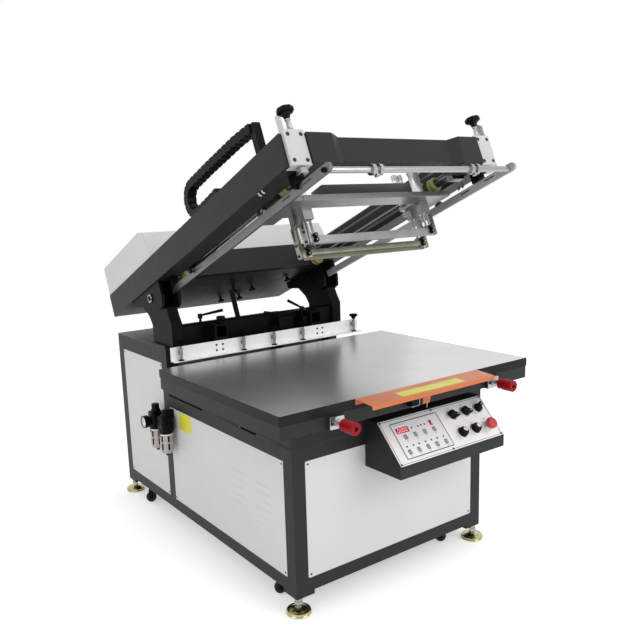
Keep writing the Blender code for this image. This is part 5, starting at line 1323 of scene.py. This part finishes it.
# Feet: dished zinc discs with two beads, a nut and the stem
footDisc = [(0, 0.0003), (0.043, 0.0003), (0.0462, 0.0025), (0.0466, 0.006), (0.0446, 0.0085),
            (0.0458, 0.0105), (0.0454, 0.014), (0.0425, 0.0165), (0.0405, 0.015), (0.025, 0.02),
            (0.02, 0.0215), (0, 0.0215)]
footNut = rodProfile(0.0165, 0.04, 0.048)
footStem = [(0, 0.02), (0.0135, 0.02), (0.0135, 0.028), (0.0112, 0.029), (0.0112, 0.0635),
            (0, 0.0635)]
footSpots = []
for where in ("front_left", "front_right", "rear_left", "rear_right"):
    low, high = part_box("foot_" + where)
    footSpots.append(((low.x + high.x) / 2, (low.y + high.y) / 2, 0.0))
makePiece("foot_discs", [turnedShape(footDisc, at, steps=56) for at in footSpots], zincYellow,
          "machine_base")
makePiece("foot_stems", [turnedShape(footStem, at, steps=24) for at in footSpots]
          + [turnedShape(footNut, at, steps=6) for at in footSpots], polished, "machine_base")
print("stage: feet")


# Air filter and regulator
bowlGrey = finish("satin bowl guard", (0.42, 0.395, 0.375), 0.38, metal=0.35, tone=0.05, grain=0.03,
                  grainScale=600.0, edge=0.0008)
latchRed = finish("red latch", (0.55, 0.03, 0.075), 0.4, tone=0.05, grain=0.01, edge=0.0004)
fittingBlue = finish("blue fitting ring", (0.02, 0.22, 0.55), 0.35, tone=0.05, grain=0.01,
                     edge=0.0004)
dialWhite = finish("gauge dial", (0.72, 0.72, 0.71), 0.3, tone=0.02, grain=0.004, edge=0, coat=0.6)
air = dict(x=-0.524, y=1.098, space=0.0495, low=0.48, high=0.545, half=0.029, corner=0.011,
           wall=-0.4823, bowlR=0.03, bowlDrop=0.089, toeIn=0.015, toeDrop=0.016,
           spacer=(0.0205, 0.022, 0.0165), ports=((-0.072, 0.036, -1), (0.074, 0.028, 1)),
           slotHalf=8.0, slotTurns=(205.0, 262.0), slotZs=((-0.021, -0.047), (-0.055, -0.084)))
# the filter stands in front, the regulator behind
airYs = (air["y"] - air["space"], air["y"] + air["space"])
airMid = (air["low"] + air["high"]) / 2
gaugeAt = (air["x"] - 0.025, airYs[1], airMid - 0.006)


def airBodies():
    # Two square bodies with rounded corners, and a collar round the foot of each.
    x, low, high = air["x"], air["low"], air["high"]
    collar = [(0, low - 0.012), (0.0308, low - 0.012), (0.0318, low - 0.01), (0.0318, low + 0.0085),
              (0.029, low + 0.012), (0, low + 0.012)]
    square = roundedOutline(air["half"] * 2, air["half"] * 2, air["corner"], 8)
    return [shape for y in airYs
            for shape in (plateShape(square + (x, y), low - 0.0004, high + 0.0002, 0.0035),
                          turnedShape(collar, (x, y, 0.0), steps=44))]


def airJoints():
    # The spacer between the bodies, the filter's dome, two brackets to the wall, and the ports.
    x, y, high, mid = air["x"], air["y"], air["high"], airMid
    dome = [(0, high + 0.03), (0.009, high + 0.03), (0.0125, high + 0.027), (0.013, high + 0.012),
            (0.021, high + 0.006), (0.0225, high - 0.003), (0, high - 0.003)]
    wide, deep, tall = air["spacer"]
    made = [boxShape((x - wide, y - deep, mid - tall), (x + wide, y + deep, mid + tall), 0.003),
            boxShape((x + 0.015, y - 0.01, mid - 0.02), (air["wall"], y + 0.04, mid + 0.024),
                     0.002),
            turnedShape(dome, (x, airYs[0], 0.0), steps=36),
            boxShape((x + 0.01, airYs[0] - 0.004, high - 0.01),
                     (air["wall"], airYs[0] + 0.02, high + 0.023), 0.003)]
    for start, length, sign in air["ports"]:
        port = [(0, 0), (0.0135, 0), (0.0135, 0.012), (0.0094, 0.014), (0.0094, length),
                (0.005, length), (0.005, length - 0.006), (0, length - 0.006)]
        made.append(turnedShape(port, (x, y + start, mid), (0, sign, 0), 30))
    return made


def bowlShape(y):
    # The bowl guard: straight sides, and a quarter ellipse down to its flat foot.
    r, top, bend = air["bowlR"], air["low"] - 0.011, air["low"] - air["bowlDrop"]
    t = np.linspace(0, np.pi / 2, 7)[1:]
    foot = [(r - air["toeIn"] * (1 - math.cos(k)), bend - air["toeDrop"] * math.sin(k)) for k in t]
    return turnedShape([(0, top), (r, top), (r, bend)] + foot + [(0, foot[-1][1])],
                       (air["x"], y, 0.0), steps=44)


def sightSlot(y, facing, z0, z1):
    # A dark sight slot bent round the bowl: a flat pad whose points lie on two circles, one
    # just inside the bowl's radius and one just outside.
    angle = np.radians(facing + air["slotHalf"] * np.linspace(-1, 1, 7))
    inner, outer = air["bowlR"] - 0.002, air["bowlR"] + 0.0007
    rows = [np.stack([air["x"] + radius * np.cos(angle), y + radius * np.sin(angle),
                      np.full(7, air["low"] + z)], axis=1)
            for radius, z in ((inner, z1), (outer, z1), (outer, z0), (inner, z0))]
    return capped(gridShape(np.stack(rows, axis=1), around=True), 7, 4)


def gaugeCase():
    # The gauge's stem, drum and rolled rim, turned about the axis that faces left.
    profile = [(0, 0), (0.018, 0), (0.018, 0.0145), (0.0265, 0.016), (0.028, 0.018),
               (0.028, 0.0378), (0.027, 0.0388), (0.0246, 0.0388), (0.024, 0.0356), (0, 0.0356)]
    return turnedShape(profile, gaugeAt, (-1, 0, 0), 48)


basePiece("air_bodies", airBodies() + airJoints() + [gaugeCase()], mouldedBlack, stands="air_unit")
basePiece("air_bowls", [bowlShape(y) for y in airYs], bowlGrey)
basePiece("air_slots",
          [sightSlot(y, facing, z0, z1) for y in airYs for facing in air["slotTurns"]
           for z0, z1 in air["slotZs"]],
          mouldedBlack)
drain = [(0, -0.104), (0.01, -0.104), (0.01, -0.1085), (0.007, -0.1105), (0.007, -0.116),
         (0.0035, -0.1165), (0, -0.1165)]
basePiece("air_drains", [turnedShape(drain, (air["x"], y, air["low"]), steps=26) for y in airYs],
          mouldedBlack)
basePiece("air_latches",
          [boxShape((air["x"] - 0.0322, y - 0.004, air["low"] - 0.028),
                    (air["x"] - 0.0255, y + 0.005, air["low"] - 0.009)) for y in airYs],
          latchRed)
gaugeFace = rodProfile(0.0242, 0.0348, 0.0359)
basePiece("gauge_face", turnedShape(gaugeFace, gaugeAt, (-1, 0, 0), 44), dialWhite)

scale = dict(strokes=13, reach=135, long=0.0046, short=0.0028, width=0.0007, outer=0.021,
             out=0.0358, needleTurn=0.9,
             needle=((-0.0011, -0.005), (0.0011, -0.005), (0.0004, 0.0175), (-0.0004, 0.0175)))


def gaugeMarks():
    # The scale's short strokes, every third one longer, and the needle, laid on the dial.
    s = scale
    front = Matrix.Translation((gaugeAt[0] - s["out"], gaugeAt[1], gaugeAt[2])) @ sideways
    made = []
    for k, angle in enumerate(np.radians(np.linspace(-s["reach"], s["reach"], s["strokes"]))):
        length = s["short"] if k % 3 else s["long"]
        outward = Matrix.Translation((0, s["outer"] - length / 2, 0))
        spoke = Matrix.Rotation(-angle, 4, "Z") @ outward
        made.append(plateShape(roundedOutline(s["width"], length, 0.0002, 2), 0.0, 0.0004, 0.0001,
                               front @ spoke))
    return made + [plateShape(s["needle"], 0.0002, 0.0007, 0.0001,
                              front @ Matrix.Rotation(s["needleTurn"], 4, "Z"))]


basePiece("gauge_marks", gaugeMarks(), lineBlack)
portRing = [(0, 0.09), (0.0108, 0.09), (0.0112, 0.092), (0.0112, 0.099), (0.01, 0.1015),
            (0.005, 0.1015), (0.005, 0.099), (0, 0.099)]
basePiece("port_ring", turnedShape(portRing, (air["x"], air["y"], gaugeAt[2]), (0, 1, 0), 30),
          fittingBlue)
bowlRing = [(0.029, -0.0125), (0.0312, -0.0125), (0.0312, -0.0165), (0.029, -0.0165)]
basePiece("bowl_rings",
          [ringShape(bowlRing, (air["x"], y, air["low"]), (0, 0, 1), 44) for y in airYs],
          blockWhite)
regulatorCap = [(0, 0), (0.0203, 0), (0.0203, 0.01), (0.0174, 0.0125), (0.0168, 0.029),
                (0.0172, 0.03), (0.0172, 0.034), (0.0155, 0.0361), (0, 0.0361)]
makePiece("regulator_cap",
          turnedShape(regulatorCap, (air["x"], airYs[1], air["high"] + 0.0003), steps=72, lobes=24,
                      depth=0.018),
          mouldedBlack, "regulator_knob_body", floorFrame, stands="regulator_knob")
print("stage: air unit")
